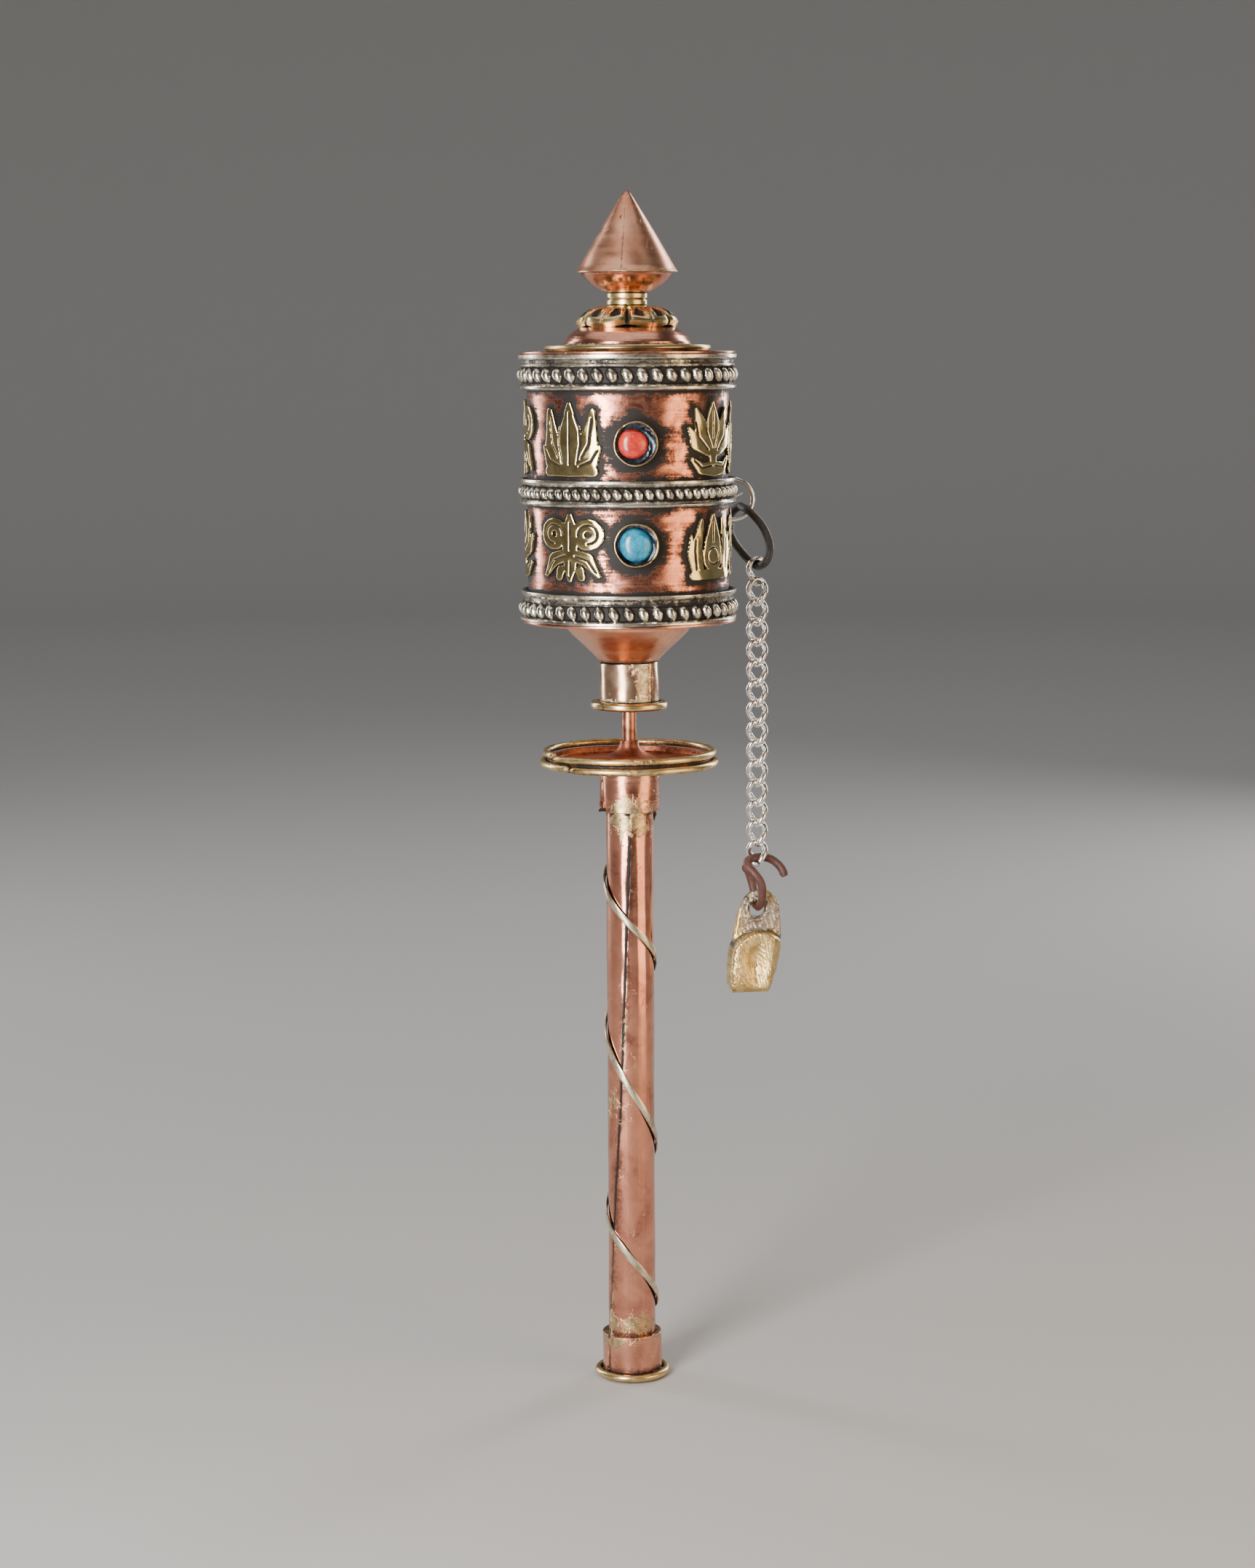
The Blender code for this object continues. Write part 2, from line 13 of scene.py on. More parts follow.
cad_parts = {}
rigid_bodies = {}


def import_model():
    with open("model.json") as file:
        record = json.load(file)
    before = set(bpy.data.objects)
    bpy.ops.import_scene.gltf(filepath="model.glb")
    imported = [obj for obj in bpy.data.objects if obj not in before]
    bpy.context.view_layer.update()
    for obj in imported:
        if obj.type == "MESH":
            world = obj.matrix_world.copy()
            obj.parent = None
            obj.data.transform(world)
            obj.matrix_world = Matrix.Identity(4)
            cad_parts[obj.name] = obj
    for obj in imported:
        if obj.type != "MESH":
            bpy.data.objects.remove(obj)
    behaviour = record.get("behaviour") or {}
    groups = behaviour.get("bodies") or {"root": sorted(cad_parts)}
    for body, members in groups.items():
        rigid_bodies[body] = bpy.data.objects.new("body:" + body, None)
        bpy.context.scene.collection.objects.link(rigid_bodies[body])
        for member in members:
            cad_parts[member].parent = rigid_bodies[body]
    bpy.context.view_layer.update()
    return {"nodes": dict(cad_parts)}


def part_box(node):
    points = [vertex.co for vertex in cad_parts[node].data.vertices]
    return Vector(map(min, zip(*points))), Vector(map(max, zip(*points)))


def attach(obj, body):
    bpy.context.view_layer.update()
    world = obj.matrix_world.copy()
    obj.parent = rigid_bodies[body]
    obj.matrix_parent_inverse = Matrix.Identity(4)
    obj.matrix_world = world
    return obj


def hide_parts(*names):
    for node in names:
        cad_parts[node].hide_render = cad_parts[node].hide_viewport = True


for old in list(bpy.data.objects):
    bpy.data.objects.remove(old, do_unlink=True)
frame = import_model()

# ------------------------------------------------------------------ stage
# A pale round cove: the floor sweeps up into a wall that stands well outside
# every camera, lit by softboxes, so that the polished metal has broad, plain
# things to mirror.
MM = 0.001


def write_mesh(name, points, faces, marks=None):
    """Points in millimetres and their faces become a smooth mesh in metres; marks are numbers at each point."""
    mesh = bpy.data.meshes.new(name)
    mesh.from_pydata((np.asarray(points, float) * MM).tolist(), [], faces)
    for mark, values in (marks or {}).items():
        layer = mesh.attributes.new(mark, "FLOAT", "POINT")
        layer.data.foreach_set("value", np.asarray(values, np.float32).ravel())
    mesh.validate()
    mesh.shade_smooth()
    mesh.set_sharp_from_angle(angle=math.radians(42))
    piece = bpy.data.objects.new(name, mesh)
    bpy.context.scene.collection.objects.link(piece)
    return piece


def grid_faces(rows, columns, close_rows=False, close_columns=True):
    """Quads between neighbouring points of a rows by columns grid, joined round where an end closes on the start."""
    i, j = np.meshgrid(np.arange(rows if close_rows else rows - 1),
        np.arange(columns if close_columns else columns - 1), indexing="ij")
    i2, j2 = (i + 1) % rows, (j + 1) % columns
    corners = (i * columns + j, i * columns + j2, i2 * columns + j2, i2 * columns + j)
    return np.stack([c.ravel() for c in corners], axis=1)


def welded(points, quads, marks):
    """Points that fall together become one, so that poles close.

    A quad that loses a corner becomes a triangle. Where the volume that the faces enclose comes out negative, they
    are turned round to point outwards.
    """
    _, first, where = np.unique(np.round(points, 4), axis=0, return_index=True, return_inverse=True)
    quads = where.reshape(-1)[quads]
    kept = points[first]
    a, b, c, d = (kept[quads[:, k]] for k in range(4))
    inside = np.einsum("ij,ij->i", a, np.cross(b, c)) + np.einsum("ij,ij->i", a, np.cross(c, d))
    if inside.sum() < 0:
        quads = quads[:, ::-1]
    faces = []
    for quad in quads.tolist():
        face = list(dict.fromkeys(quad))
        if len(face) > 2:
            faces.append(face)
    return kept, faces, {k: np.ravel(v)[first] for k, v in (marks or {}).items()}


cove_turn = np.linspace(0, 2 * math.pi, 96, endpoint=False)
cove_sweep = np.linspace(0, math.pi / 2, 16)
cove_r = np.concatenate([[0], 1900 + 700 * np.sin(cove_sweep), [2600]])
cove_z = np.concatenate([[-0.3], -0.3 + 700 * (1 - np.cos(cove_sweep)), [3200]])
cove_points = np.stack([cove_r[:, None] * np.cos(cove_turn), cove_r[:, None] * np.sin(cove_turn),
    cove_z[:, None] + 0 * cove_turn], axis=2).reshape(-1, 3)
cove_faces = grid_faces(len(cove_r), len(cove_turn))[:, ::-1].tolist()
cove = write_mesh("cove", cove_points, cove_faces)
cove_paper = bpy.data.materials.new("cove_paper")
cove_paper.use_nodes = True
cove_shader = cove_paper.node_tree.nodes["Principled BSDF"]
cove_shader.inputs["Base Color"].default_value = (0.42, 0.41, 0.40, 1)
cove_shader.inputs["Roughness"].default_value = 0.9
cove.data.materials.append(cove_paper)


def softbox(name, place, aim, size, watts, colour=(1, 1, 1)):
    """A rectangular lamp at a place, turned towards what it lights, in metres."""
    lamp = bpy.data.lights.new(name, "AREA")
    lamp.shape = "RECTANGLE"
    lamp.size, lamp.size_y = size
    lamp.energy = watts
    lamp.color = colour
    made = bpy.data.objects.new(name, lamp)
    made.location = place
    made.rotation_euler = (Vector(aim) - Vector(place)).to_track_quat("-Z", "Y").to_euler()
    made.visible_camera = False
    bpy.context.scene.collection.objects.link(made)


softbox("window", (-0.17, -0.32, 0.16), (0, 0, 0.15), (0.13, 0.34), 2.2, (1, 0.98, 0.95))
softbox("high_window", (-0.46, -0.84, 0.5), (0, 0, 0.15), (0.30, 0.5), 6.0, (1, 0.98, 0.95))
softbox("side_window", (0.31, -0.17, 0.16), (0, 0, 0.15), (0.24, 0.34), 0.8, (1, 0.72, 0.42))
softbox("left_edge", (-0.62, 0.42, 0.3), (0, 0, 0.15), (0.16, 0.6), 2.6)
softbox("right_edge", (0.5, 0.62, 0.35), (0, 0, 0.15), (0.2, 0.6), 3.2)
softbox("sky", (-0.2, 0.2, 2.5), (0, 0.3, 0), (3.0, 3.0), 28.0)

world = bpy.data.worlds.new("room")
world.use_nodes = True
world.node_tree.nodes["Background"].inputs["Color"].default_value = (0.30, 0.30, 0.31, 1)
world.node_tree.nodes["Background"].inputs["Strength"].default_value = 0.25
bpy.context.scene.world = world

view_height = 0.1226
view_distance = 0.614
view_tilt = math.radians(8)
camera_data = bpy.data.cameras.new("camera")
camera_data.lens = 70.1
camera_data.sensor_width = 36
camera_data.clip_start = 0.01
camera = bpy.data.objects.new("camera", camera_data)
camera_target = Vector((-0.0004, 0, view_height))
camera.location = camera_target + Vector((0, -view_distance * math.cos(view_tilt),
    view_distance * math.sin(view_tilt)))
facing = (camera_target - camera.location).to_track_quat("-Z", "Y")
camera.rotation_euler = (facing @ Quaternion((0, 0, 1), math.radians(-0.3))).to_euler()
bpy.context.scene.collection.objects.link(camera)
bpy.context.scene.camera = camera

# ------------------------------------------------------------------ metals
# Copper sheet, yellow brass and white metal all wear alike: bright where hands
# rub them, brown on the flats and sooty black wherever a corner keeps the dirt.


def linked(tree, kind, settings=None, **inputs):
    """A shader node with its settings made; its sockets, by name or as _0, _1, take a value or another's output."""
    node = tree.nodes.new(kind)
    for setting, value in (settings or {}).items():
        setattr(node, setting, value)
    for socket, value in inputs.items():
        target = node.inputs[int(socket[1:]) if socket[1:].isdigit() else socket]
        if isinstance(value, bpy.types.NodeSocket):
            tree.links.new(value, target)
        else:
            target.default_value = value
    return node


def ramp(tree, factor, *stops):
    """A colour ramp through (place, value) stops, the value a grey number or a colour."""
    node = linked(tree, "ShaderNodeValToRGB", Fac=factor)
    elements = node.color_ramp.elements
    while len(elements) < len(stops):
        elements.new(0.5)
    for element, (place, value) in zip(elements, stops):
        element.position = place
        element.color = (value, value, value, 1) if isinstance(value, (int, float)) else (*value, 1)
    return node.outputs["Color"]


def noise(tree, where, scale, detail=4, roughness=0.55, distortion=0.0):
    node = linked(tree, "ShaderNodeTexNoise", Vector=where, Scale=scale, Detail=detail, Roughness=roughness,
        Distortion=distortion)
    return node.outputs["Fac"]


def blend(tree, factor, first, second):
    """Two colours mixed by a factor."""
    node = tree.nodes.new("ShaderNodeMix")
    node.data_type = "RGBA"
    for socket, value in ((0, factor), (6, first), (7, second)):
        if isinstance(value, bpy.types.NodeSocket):
            tree.links.new(value, node.inputs[socket])
        elif socket == 0:
            node.inputs[socket].default_value = value
        else:
            node.inputs[socket].default_value = (*value, 1)
    return node.outputs[2]


def maths(tree, way, first, second):
    return linked(tree, "ShaderNodeMath", {"operation": way}, _0=first, _1=second).outputs[0]


def total(tree, first, *others):
    """Numbers added one after another."""
    for other in others:
        first = maths(tree, "ADD", first, other)
    return first


def swing(tree, value, size):
    """A noise between 0 and 1 made to swing about 0, size from end to end."""
    return maths(tree, "MULTIPLY", maths(tree, "SUBTRACT", value, 0.5), size)


def mark(tree, name):
    return linked(tree, "ShaderNodeAttribute", {"attribute_name": name}).outputs["Fac"]


def cells(tree, where, scale):
    """Distance from the nearest edge of a net of random cells."""
    settings = {"feature": "DISTANCE_TO_EDGE"}
    return linked(tree, "ShaderNodeTexVoronoi", settings, Vector=where, Scale=scale).outputs[0]


def stretched(tree, where, scale):
    return linked(tree, "ShaderNodeMapping", Vector=where, Scale=scale).outputs[0]


def surface(tree, shader, colour, rough, height, strength, depth):
    """Feeds a shader its colour, its roughness and a bump that is depth millimetres deep."""
    bump = linked(tree, "ShaderNodeBump", Height=height, Strength=strength, Distance=depth * MM)
    for socket, value in (("Normal", bump.outputs["Normal"]), ("Base Color", colour), ("Roughness", rough)):
        if isinstance(value, float):
            shader.inputs[socket].default_value = value
        else:
            tree.links.new(value, shader.inputs[socket])


def fresh(name):
    material = bpy.data.materials.new(name)
    material.use_nodes = True
    tree = material.node_tree
    where = tree.nodes.new("ShaderNodeTexCoord").outputs["Object"]
    return material, tree, tree.nodes["Principled BSDF"], where


def worn_metal(name, bright, dull, grain=(60, 60, 900), shine=(0.2, 0.42), soot=(0.012, 0.009, 0.008), scratch=0.35,
    blotch=150, soot_everywhere=0.0, solder=None, relief=0.06, mottle=0.9, brushed=0.0):
    """Metal that is bright on its rubbed places and dull between, with fine scratches drawn out along the grain.

    The mark "soot" at each point says how much black the place has kept, and the mark "solder" how much grey-yellow
    solder has run over it. grain gives the scratches' fineness along X, Y and Z.
    """
    material, tree, shader, where = fresh(name)
    lines = noise(tree, stretched(tree, where, grain), 1.0, 6, 0.7)
    cloud = noise(tree, where, blotch, 5, 0.6, 0.6)
    speck = noise(tree, where, blotch * 9, 3, 0.6)
    colour = blend(tree, ramp(tree, cloud, (0.38, 0.0), (0.62, 1.0)), bright, dull)
    pale = [min(1.0, c * 1.18 + 0.03) for c in bright]
    colour = blend(tree, ramp(tree, lines, (0.55, 0.0), (0.75, 0.55)), colour, pale)
    breaks = [swing(tree, cloud, mottle), swing(tree, speck, 0.8), swing(tree, lines, brushed)]
    ragged = total(tree, mark(tree, "soot"), *breaks, soot_everywhere)
    film = ramp(tree, ragged, (0.12, 0.0), (0.46, 0.8))
    colour = blend(tree, film, colour, [c * 0.32 for c in dull])
    black = ramp(tree, ragged, (0.42, 0.0), (0.68, 1.0))
    colour = blend(tree, black, colour, soot)
    rough = ramp(tree, lines, (0.3, shine[0]), (0.7, shine[1]))
    rough = blend(tree, black, rough, (0.62, 0.62, 0.62))
    metallic = blend(tree, black, (1, 1, 1), (0.35, 0.35, 0.35))
    height = total(tree, maths(tree, "MULTIPLY", lines, scratch), maths(tree, "MULTIPLY", cloud, 0.5))
    if solder:
        lumpy = noise(tree, where, 900, 4, 0.65)
        patchy = noise(tree, where, 330, 5, 0.7, 1.0)
        run = total(tree, mark(tree, "solder"), swing(tree, patchy, 3.2), swing(tree, lumpy, 1.2))
        run = ramp(tree, run, (0.52, 0.0), (0.72, 1.0))
        tin = blend(tree, ramp(tree, lumpy, (0.4, 0.0), (0.7, 1.0)), solder, [c * 0.4 for c in solder])
        colour = blend(tree, run, colour, tin)
        rough = blend(tree, run, rough, (0.34, 0.34, 0.34))
        height = total(tree, height, maths(tree, "MULTIPLY", maths(tree, "MULTIPLY", lumpy, run), 2.0))
    surface(tree, shader, colour, rough, height, 0.6, relief)
    tree.links.new(metallic, shader.inputs["Metallic"])
    return material


SOLDER = (0.72, 0.52, 0.27)
copper = worn_metal("copper_sheet", (0.88, 0.41, 0.27), (0.60, 0.25, 0.16), (25, 25, 1500), (0.14, 0.32),
    solder=SOLDER)
copper_tube = worn_metal("copper_tube", (0.86, 0.37, 0.24), (0.58, 0.23, 0.15), (1500, 1500, 25), (0.1, 0.2),
    scratch=0.15, solder=SOLDER)
satin_copper = worn_metal("satin_copper", (0.90, 0.47, 0.30), (0.74, 0.32, 0.19), (40, 40, 500), (0.24, 0.4),
    scratch=0.12, solder=SOLDER, mottle=0.6)
dull_copper = worn_metal("dull_copper", (0.60, 0.20, 0.10), (0.30, 0.10, 0.06), shine=(0.34, 0.6),
    soot_everywhere=0.1, relief=0.15)
brass = worn_metal("brass_sheet", (0.86, 0.68, 0.34), (0.60, 0.44, 0.20), (40, 40, 1200), (0.18, 0.38))
brass_wire = worn_metal("brass_wire", (0.84, 0.63, 0.29), (0.58, 0.38, 0.16), (300, 300, 300), solder=SOLDER)
white_metal = worn_metal("white_metal", (0.86, 0.79, 0.66), (0.62, 0.54, 0.42), (90, 90, 700), (0.15, 0.34),
    blotch=300, relief=0.14, mottle=1.7, soot_everywhere=0.14)
silver = worn_metal("silvery_wire", (0.95, 0.93, 0.89), (0.80, 0.77, 0.72), (300, 300, 300), (0.12, 0.24),
    scratch=0.1, blotch=300, relief=0.02, mottle=0.3, soot_everywhere=-0.14)

# ------------------------------------------------------------------ handle tube
# Copper sheet rolled into a tube over a wooden dowel. The overlapping edge of
# the sheet winds a sixth of the way round as it runs down, soldered at places.


def waves(turn, height, size, seed, lengths=(6, 40)):
    """Hand-beaten unevenness: a dozen slanting sine waves of random length and phase, added together."""
    chance = np.random.default_rng(seed)
    total = 0.0
    for _ in range(12):
        around = chance.integers(1, 7)
        rise = 2 * math.pi / chance.uniform(*lengths)
        total = total + np.sin(around * turn + rise * height + chance.uniform(0, 6.28))
    return size * total / 3.5


def arc_corner(before, corner, after, round_by, steps):
    """Points of the arc of that radius that touches both straight stretches of a corner."""
    corner = np.asarray(corner, float)
    back = np.asarray(before, float) - corner
    on = np.asarray(after, float) - corner
    reach_back, reach_on = np.linalg.norm(back), np.linalg.norm(on)
    back, on = back / reach_back, on / reach_on
    half = math.acos(max(-1.0, min(1.0, float(back @ on)))) / 2
    if half > 1.5 or round_by <= 0:
        return [corner]
    cut = min(round_by / math.tan(half), 0.48 * reach_back, 0.48 * reach_on)
    start, end = corner + back * cut, corner + on * cut
    t = np.linspace(0, 1, steps)[:, None]
    return list((1 - t) ** 2 * start + 2 * t * (1 - t) * corner + t**2 * end)


def outline(corners, step=0.8, closed=True, arc_steps=5):
    """A profile through (radius, height, rounding) corners, its points at most a step apart on the straights."""
    places = [(c[0], c[1]) for c in corners]
    rounding = [c[2] if len(c) > 2 else 0.0 for c in corners]
    count = len(corners)
    line = []
    for k in range(count):
        if not closed and k in (0, count - 1):
            line.append(np.asarray(places[k], float))
            continue
        line += arc_corner(places[k - 1], places[k], places[(k + 1) % count], rounding[k], arc_steps)
    full = []
    ends = line[1:] + ([line[0]] if closed else [])
    for a, b in zip(line, ends):
        parts = max(1, math.ceil(float(np.linalg.norm(b - a)) / step))
        full += [a + (b - a) * n / parts for n in range(parts)]
    if not closed:
        full.append(line[-1])
    return np.array(full)


def turned(name, profile, around=160, shape=None, marks=None, closed=True):
    """A surface turned about Z: each profile point (radius, height) goes once round.

    shape(turn, radius, height) may move the points, and marks(turn, radius, height) gives the marks.
    """
    turn = np.linspace(0, 2 * math.pi, around, endpoint=False)[None, :]
    radius = profile[:, :1] + 0 * turn
    height = profile[:, 1:] + 0 * turn
    kept = marks(turn + 0 * radius, radius, height) if marks else {"soot": 0 * radius}
    if shape:
        radius, height = shape(turn + 0 * radius, radius, height)
    points = np.stack([radius * np.sin(turn), -radius * np.cos(turn), height], axis=2)
    quads = grid_faces(len(profile), around, close_rows=closed)
    return write_mesh(name, *welded(points.reshape(-1, 3), quads, kept))


def settle(piece, material, body, slot_name, *stands_for):
    """Gives a piece its finish and its body, and hides the CAD solids that it stands for."""
    piece.data.materials.clear()
    piece.data.materials.append(material)
    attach(piece, body)
    if stands_for:
        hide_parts(*stands_for)
    return piece


def near(value, centre, width):
    """1 at the centre, falling smoothly to 0 a few widths away."""
    return np.exp(-(((value - centre) / width) ** 2))


def angle_gap(turn, at):
    """Signed angle from a direction, in radians between -pi and pi."""
    return (turn - at + math.pi) % (2 * math.pi) - math.pi


def span(node):
    """A CAD solid's lowest and highest point and how far it reaches along X, in millimetres."""
    lowest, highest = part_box(node)
    return lowest[2] / MM, highest[2] / MM, highest[0] / MM


def spread(line, count):
    """Places joined by straight lines, read off at count even shares of the way from the first to the last."""
    share = np.linspace(0, len(line) - 1, count)
    return np.stack([np.interp(share, range(len(line)), column) for column in np.transpose(line)], axis=1)


tube_low, tube_high, tube_r = span("handle_tube")
upper_foot, upper_top, _ = span("upper_ferrule")
lower_foot, lower_top, _ = span("lower_ferrule")


def seam_turn(height):
    """The overlap's direction: a little right of the front under the drum, well to the left at the foot."""
    return np.radians(np.interp(height, [2, 14, 59, 117, 126], [-64, -60, -23, 3, 6]))


def tube_shape(turn, radius, height):
    outside = radius > tube_r - 0.3
    past = angle_gap(turn, seam_turn(height)) * tube_r
    lap = 0.3 * np.exp(-np.clip(past, 0, None) / 3.2) * (past > 0)
    lap = lap * np.clip(past / 0.16, 0, 1)
    ripple = 0.06 * np.sin(height / 1.9 + 1.3 * np.sin(height / 7)) * near(past, 0, 0.6)
    return radius + outside * (lap + waves(turn, height, 0.035, 3, (9, 60)) - 0.08 + ripple), height


def tube_marks(turn, radius, height):
    past = angle_gap(turn, seam_turn(height)) * tube_r
    soot = 0.85 * near(past, -0.12, 0.28) + 0.35 * near(past, 0.1, 1.2)
    soot = soot + 0.7 * near(height, lower_top, 1.0) + 0.6 * near(height, upper_foot, 0.8)
    solder = 0.95 * near(height, 115.4, 3.0) * (0.4 + 0.6 * near(angle_gap(turn, 0.05), 0, 1.0))
    solder = solder + 0.9 * near(height, 11.4, 2.8) * (0.55 + 0.45 * near(angle_gap(turn, 0.2), 0, 1.2))
    solder = solder + 0.85 * near(height, 56.5, 3.6) * near(angle_gap(turn, -0.85), 0, 0.55)
    solder = solder + 0.6 * near(past, 0.3, 0.5) * near(np.sin(height / 9.0), 1, 0.5)
    return {"soot": soot, "solder": solder}


tube_corners = [(tube_r - 0.5, tube_low), (tube_r, tube_low, 0.1), (tube_r, tube_high, 0.1),
    (tube_r - 0.5, tube_high)]
tube = turned("handle_tube_rolled", outline(tube_corners, 0.8), 240, tube_shape, tube_marks)
settle(tube, copper_tube, "handle", "copper", "handle_tube")

# ---------------------------------------------------------------- ferrules
# Short sleeves of the same sheet, soldered over the tube's two ends. Their
# seams never quite closed: the upper one's edge flares out at the left.


def ferrule(name, node, gap_turn, flare, material_marks, seed):
    """A rolled sleeve whose radius grows by flare towards its seam, and steps back there."""
    bottom, top, reach = span(node)
    corners = [(tube_r + 0.1, bottom, 0.1), (reach, bottom, 0.15), (reach, top, 0.15), (tube_r + 0.1, top, 0.1)]

    def shape(turn, radius, height):
        past = angle_gap(turn, gap_turn)
        down = np.clip((top - height) / (top - bottom), 0, 1)
        lift = flare * down**2 * np.clip(1 + past / 0.5, 0,
            1) ** 2 * (past < 0) - 0.1 * np.exp(-past * 6) * (past >= 0)
        outside = radius > reach - 0.4
        thin = np.where(outside, 1.0, 0.9)
        return radius + lift * thin + outside * waves(turn, height, 0.07, seed, (4, 25)) - 0.06, height

    sleeve = turned(name, outline(corners, 0.4), 200, shape, material_marks)
    return settle(sleeve, copper, "handle", "copper", node)


def upper_marks(turn, radius, height):
    past = angle_gap(turn, -1.15)
    soot = 0.7 * near(height, upper_top, 1.2) + 0.5 * near(past, 0, 0.04) + 0.3 * near(height, upper_foot, 0.8)
    solder = 0.9 * np.clip((upper_foot + 4.2 + 1.2 * np.sin(2 * turn + 1) - height) / 2.6, 0, 1)
    solder = solder * (0.3 + 0.7 * near(angle_gap(turn, -0.1), 0, 0.85))
    return {"soot": soot, "solder": solder}


def lower_marks(turn, radius, height):
    past = angle_gap(turn, -0.9)
    soot = 0.6 * near(height, lower_foot, 1.1) + 0.7 * near(past, 0, 0.05) + 0.25 * near(height, lower_top, 0.7)
    solder = 0.85 * np.clip((height - (lower_top - 3.0 + 1.0 * np.sin(2 * turn))) / 2.4, 0, 1)
    solder = solder * (0.45 + 0.55 * near(angle_gap(turn, 0.2), 0, 1.0))
    return {"soot": soot, "solder": solder}


ferrule("upper_ferrule_sleeve", "upper_ferrule", -1.15, 0.9, upper_marks, 11)
ferrule("lower_ferrule_sleeve", "lower_ferrule", -0.95, 0.35, lower_marks, 12)

# ---------------------------------------------------------- foot of the handle
# A copper disc closes the tube, with a ring of brass wire soldered round it.
# The ring's ends meet at the back with a small gap.


def swept(name, path, section, outwards, closed=True, marks=None):
    """A solid drawn along a path.

    At each path point the section's (out, across) points stand on the outward direction, made square to the path,
    and on the one square to both. An open path's ends close on their middles.
    """
    path = np.asarray(path, float)
    if closed:
        along = np.roll(path, -1, 0) - np.roll(path, 1, 0)
    else:
        along = np.gradient(path, axis=0)
    along /= np.linalg.norm(along, axis=1, keepdims=True)
    out = np.broadcast_to(np.asarray(outwards, float), path.shape)
    out = out - along * np.einsum("ij,ij->i", out, along)[:, None]
    out /= np.linalg.norm(out, axis=1, keepdims=True)
    across = np.cross(along, out)
    section = np.asarray(section, float)
    if section.ndim == 2:
        section = np.broadcast_to(section, (len(path), *section.shape))
    rows = path[:, None, :] + section[:, :, :1] * out[:, None, :] + section[:, :, 1:] * across[:, None, :]
    if not closed:
        start, end = (np.repeat(row.mean(1)[:, None], rows.shape[1], 1) for row in (rows[:1], rows[-1:]))
        rows = np.concatenate([start, rows, end])
    count, sides = rows.shape[:2]
    kept = marks(rows) if marks else {"soot": np.zeros((count, sides))}
    return write_mesh(name, *welded(rows.reshape(-1, 3), grid_faces(count, sides, close_rows=closed), kept))


def round_section(radius, sides=18, flat=0.0):
    """A circle, or one pressed flatter across the path by flat."""
    turn = np.linspace(0, 2 * math.pi, sides, endpoint=False)
    return np.stack([radius * np.cos(turn), radius * (1 - flat) * np.sin(turn)], axis=1)


def bent_ring(name, node, wire_r, gap_turn, gap, drop, seed, marks=None):
    """A wire ring about Z whose two ends come together at gap_turn, one drop higher than the other."""
    ring_low, ring_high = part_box(node)
    ring_r = ring_high[0] / MM - wire_r - 0.02
    middle = (ring_low[2] + ring_high[2]) / 2 / MM
    turn = gap_turn + np.linspace(gap / ring_r, 2 * math.pi - gap / ring_r, 260)
    share = np.linspace(-1, 1, len(turn))
    radius = ring_r + waves(turn, 0 * turn, 0.05, seed)
    height = middle + drop * np.sign(share) * np.abs(share) ** 6 + waves(turn, 0 * turn + 5, 0.03, seed + 1)
    path = np.stack([radius * np.sin(turn), -radius * np.cos(turn), height], axis=1)
    taper = np.clip((1 - np.abs(share)) * 60, 0.55, 1)[:, None, None]
    section = round_section(wire_r, 18)[None] * taper
    return swept(name, path, section, (0, 0, 1), closed=False, marks=marks)


_, disc_high, disc_r = span("end_disc")
disc_profile = outline([(0, 0), (disc_r, 0, 0.35), (disc_r, disc_high, 0.2), (0, disc_high)], 0.7, closed=False)
disc = turned("end_disc_beaten", disc_profile, 96, shape=lambda t, r,
    h: (r, h + (h < 0.2) * (r < disc_r - 0.8) * (0.05 + waves(t, r, 0.03, 5, (3, 9)))), marks=lambda t, r,
    h: {"soot": 0.55 * near(r, disc_r, 1.2) + 0.3 * (h < 0.1)}, closed=False)
settle(disc, copper, "handle", "copper", "end_disc")


def ring_marks(rows):
    inner = np.hypot(rows[:, :, 0], rows[:, :, 1])
    mean = inner.mean(1, keepdims=True)
    lumps = np.sin(np.arctan2(rows[:, :, 0], rows[:, :, 1]) * 3 + 1)
    return {"soot": 0.75 * np.clip((mean - inner) / 0.6, 0, 1),
        "solder": 0.35 * np.clip(lumps, 0, 1) * (inner < mean)}


end_ring = bent_ring("end_ring_wire", "end_ring", 0.72, math.pi, 0.25, 0.0, 21, ring_marks)
settle(end_ring, brass_wire, "handle", "brass", "end_ring")

# ------------------------------------------------------------- wound wire
# Flat white-metal wire winds down the handle as a left-hand spiral, pulled
# tight by hand, so its pitch is uneven. Its ends are soldered down.
winding_turns = np.radians([-262, -90, 90, 270, 450, 630, 810, 900])
winding_heights = np.array([116.6, 103.0, 86.6, 72.7, 48.7, 34.7, 16.0, 9.8])


def winding_height(turn):
    """A smooth cubic through the heights, its slope at each the mean slope to the two beside it."""
    k = np.clip(np.searchsorted(winding_turns, turn, side="right") - 1, 0, len(winding_turns) - 2)
    lo = np.maximum(np.arange(len(winding_turns)) - 1, 0)
    hi = np.minimum(np.arange(len(winding_turns)) + 1, len(winding_turns) - 1)
    slopes = (winding_heights[hi] - winding_heights[lo]) / (winding_turns[hi] - winding_turns[lo])
    span = winding_turns[k + 1] - winding_turns[k]
    s = (turn - winding_turns[k]) / span
    return (winding_heights[k] * (1 + 2 * s) * (1 - s) ** 2 + slopes[k] * span * s * (1 - s) ** 2
        + winding_heights[k + 1] * s * s * (3 - 2 * s) - slopes[k + 1] * span * s * s * (1 - s))


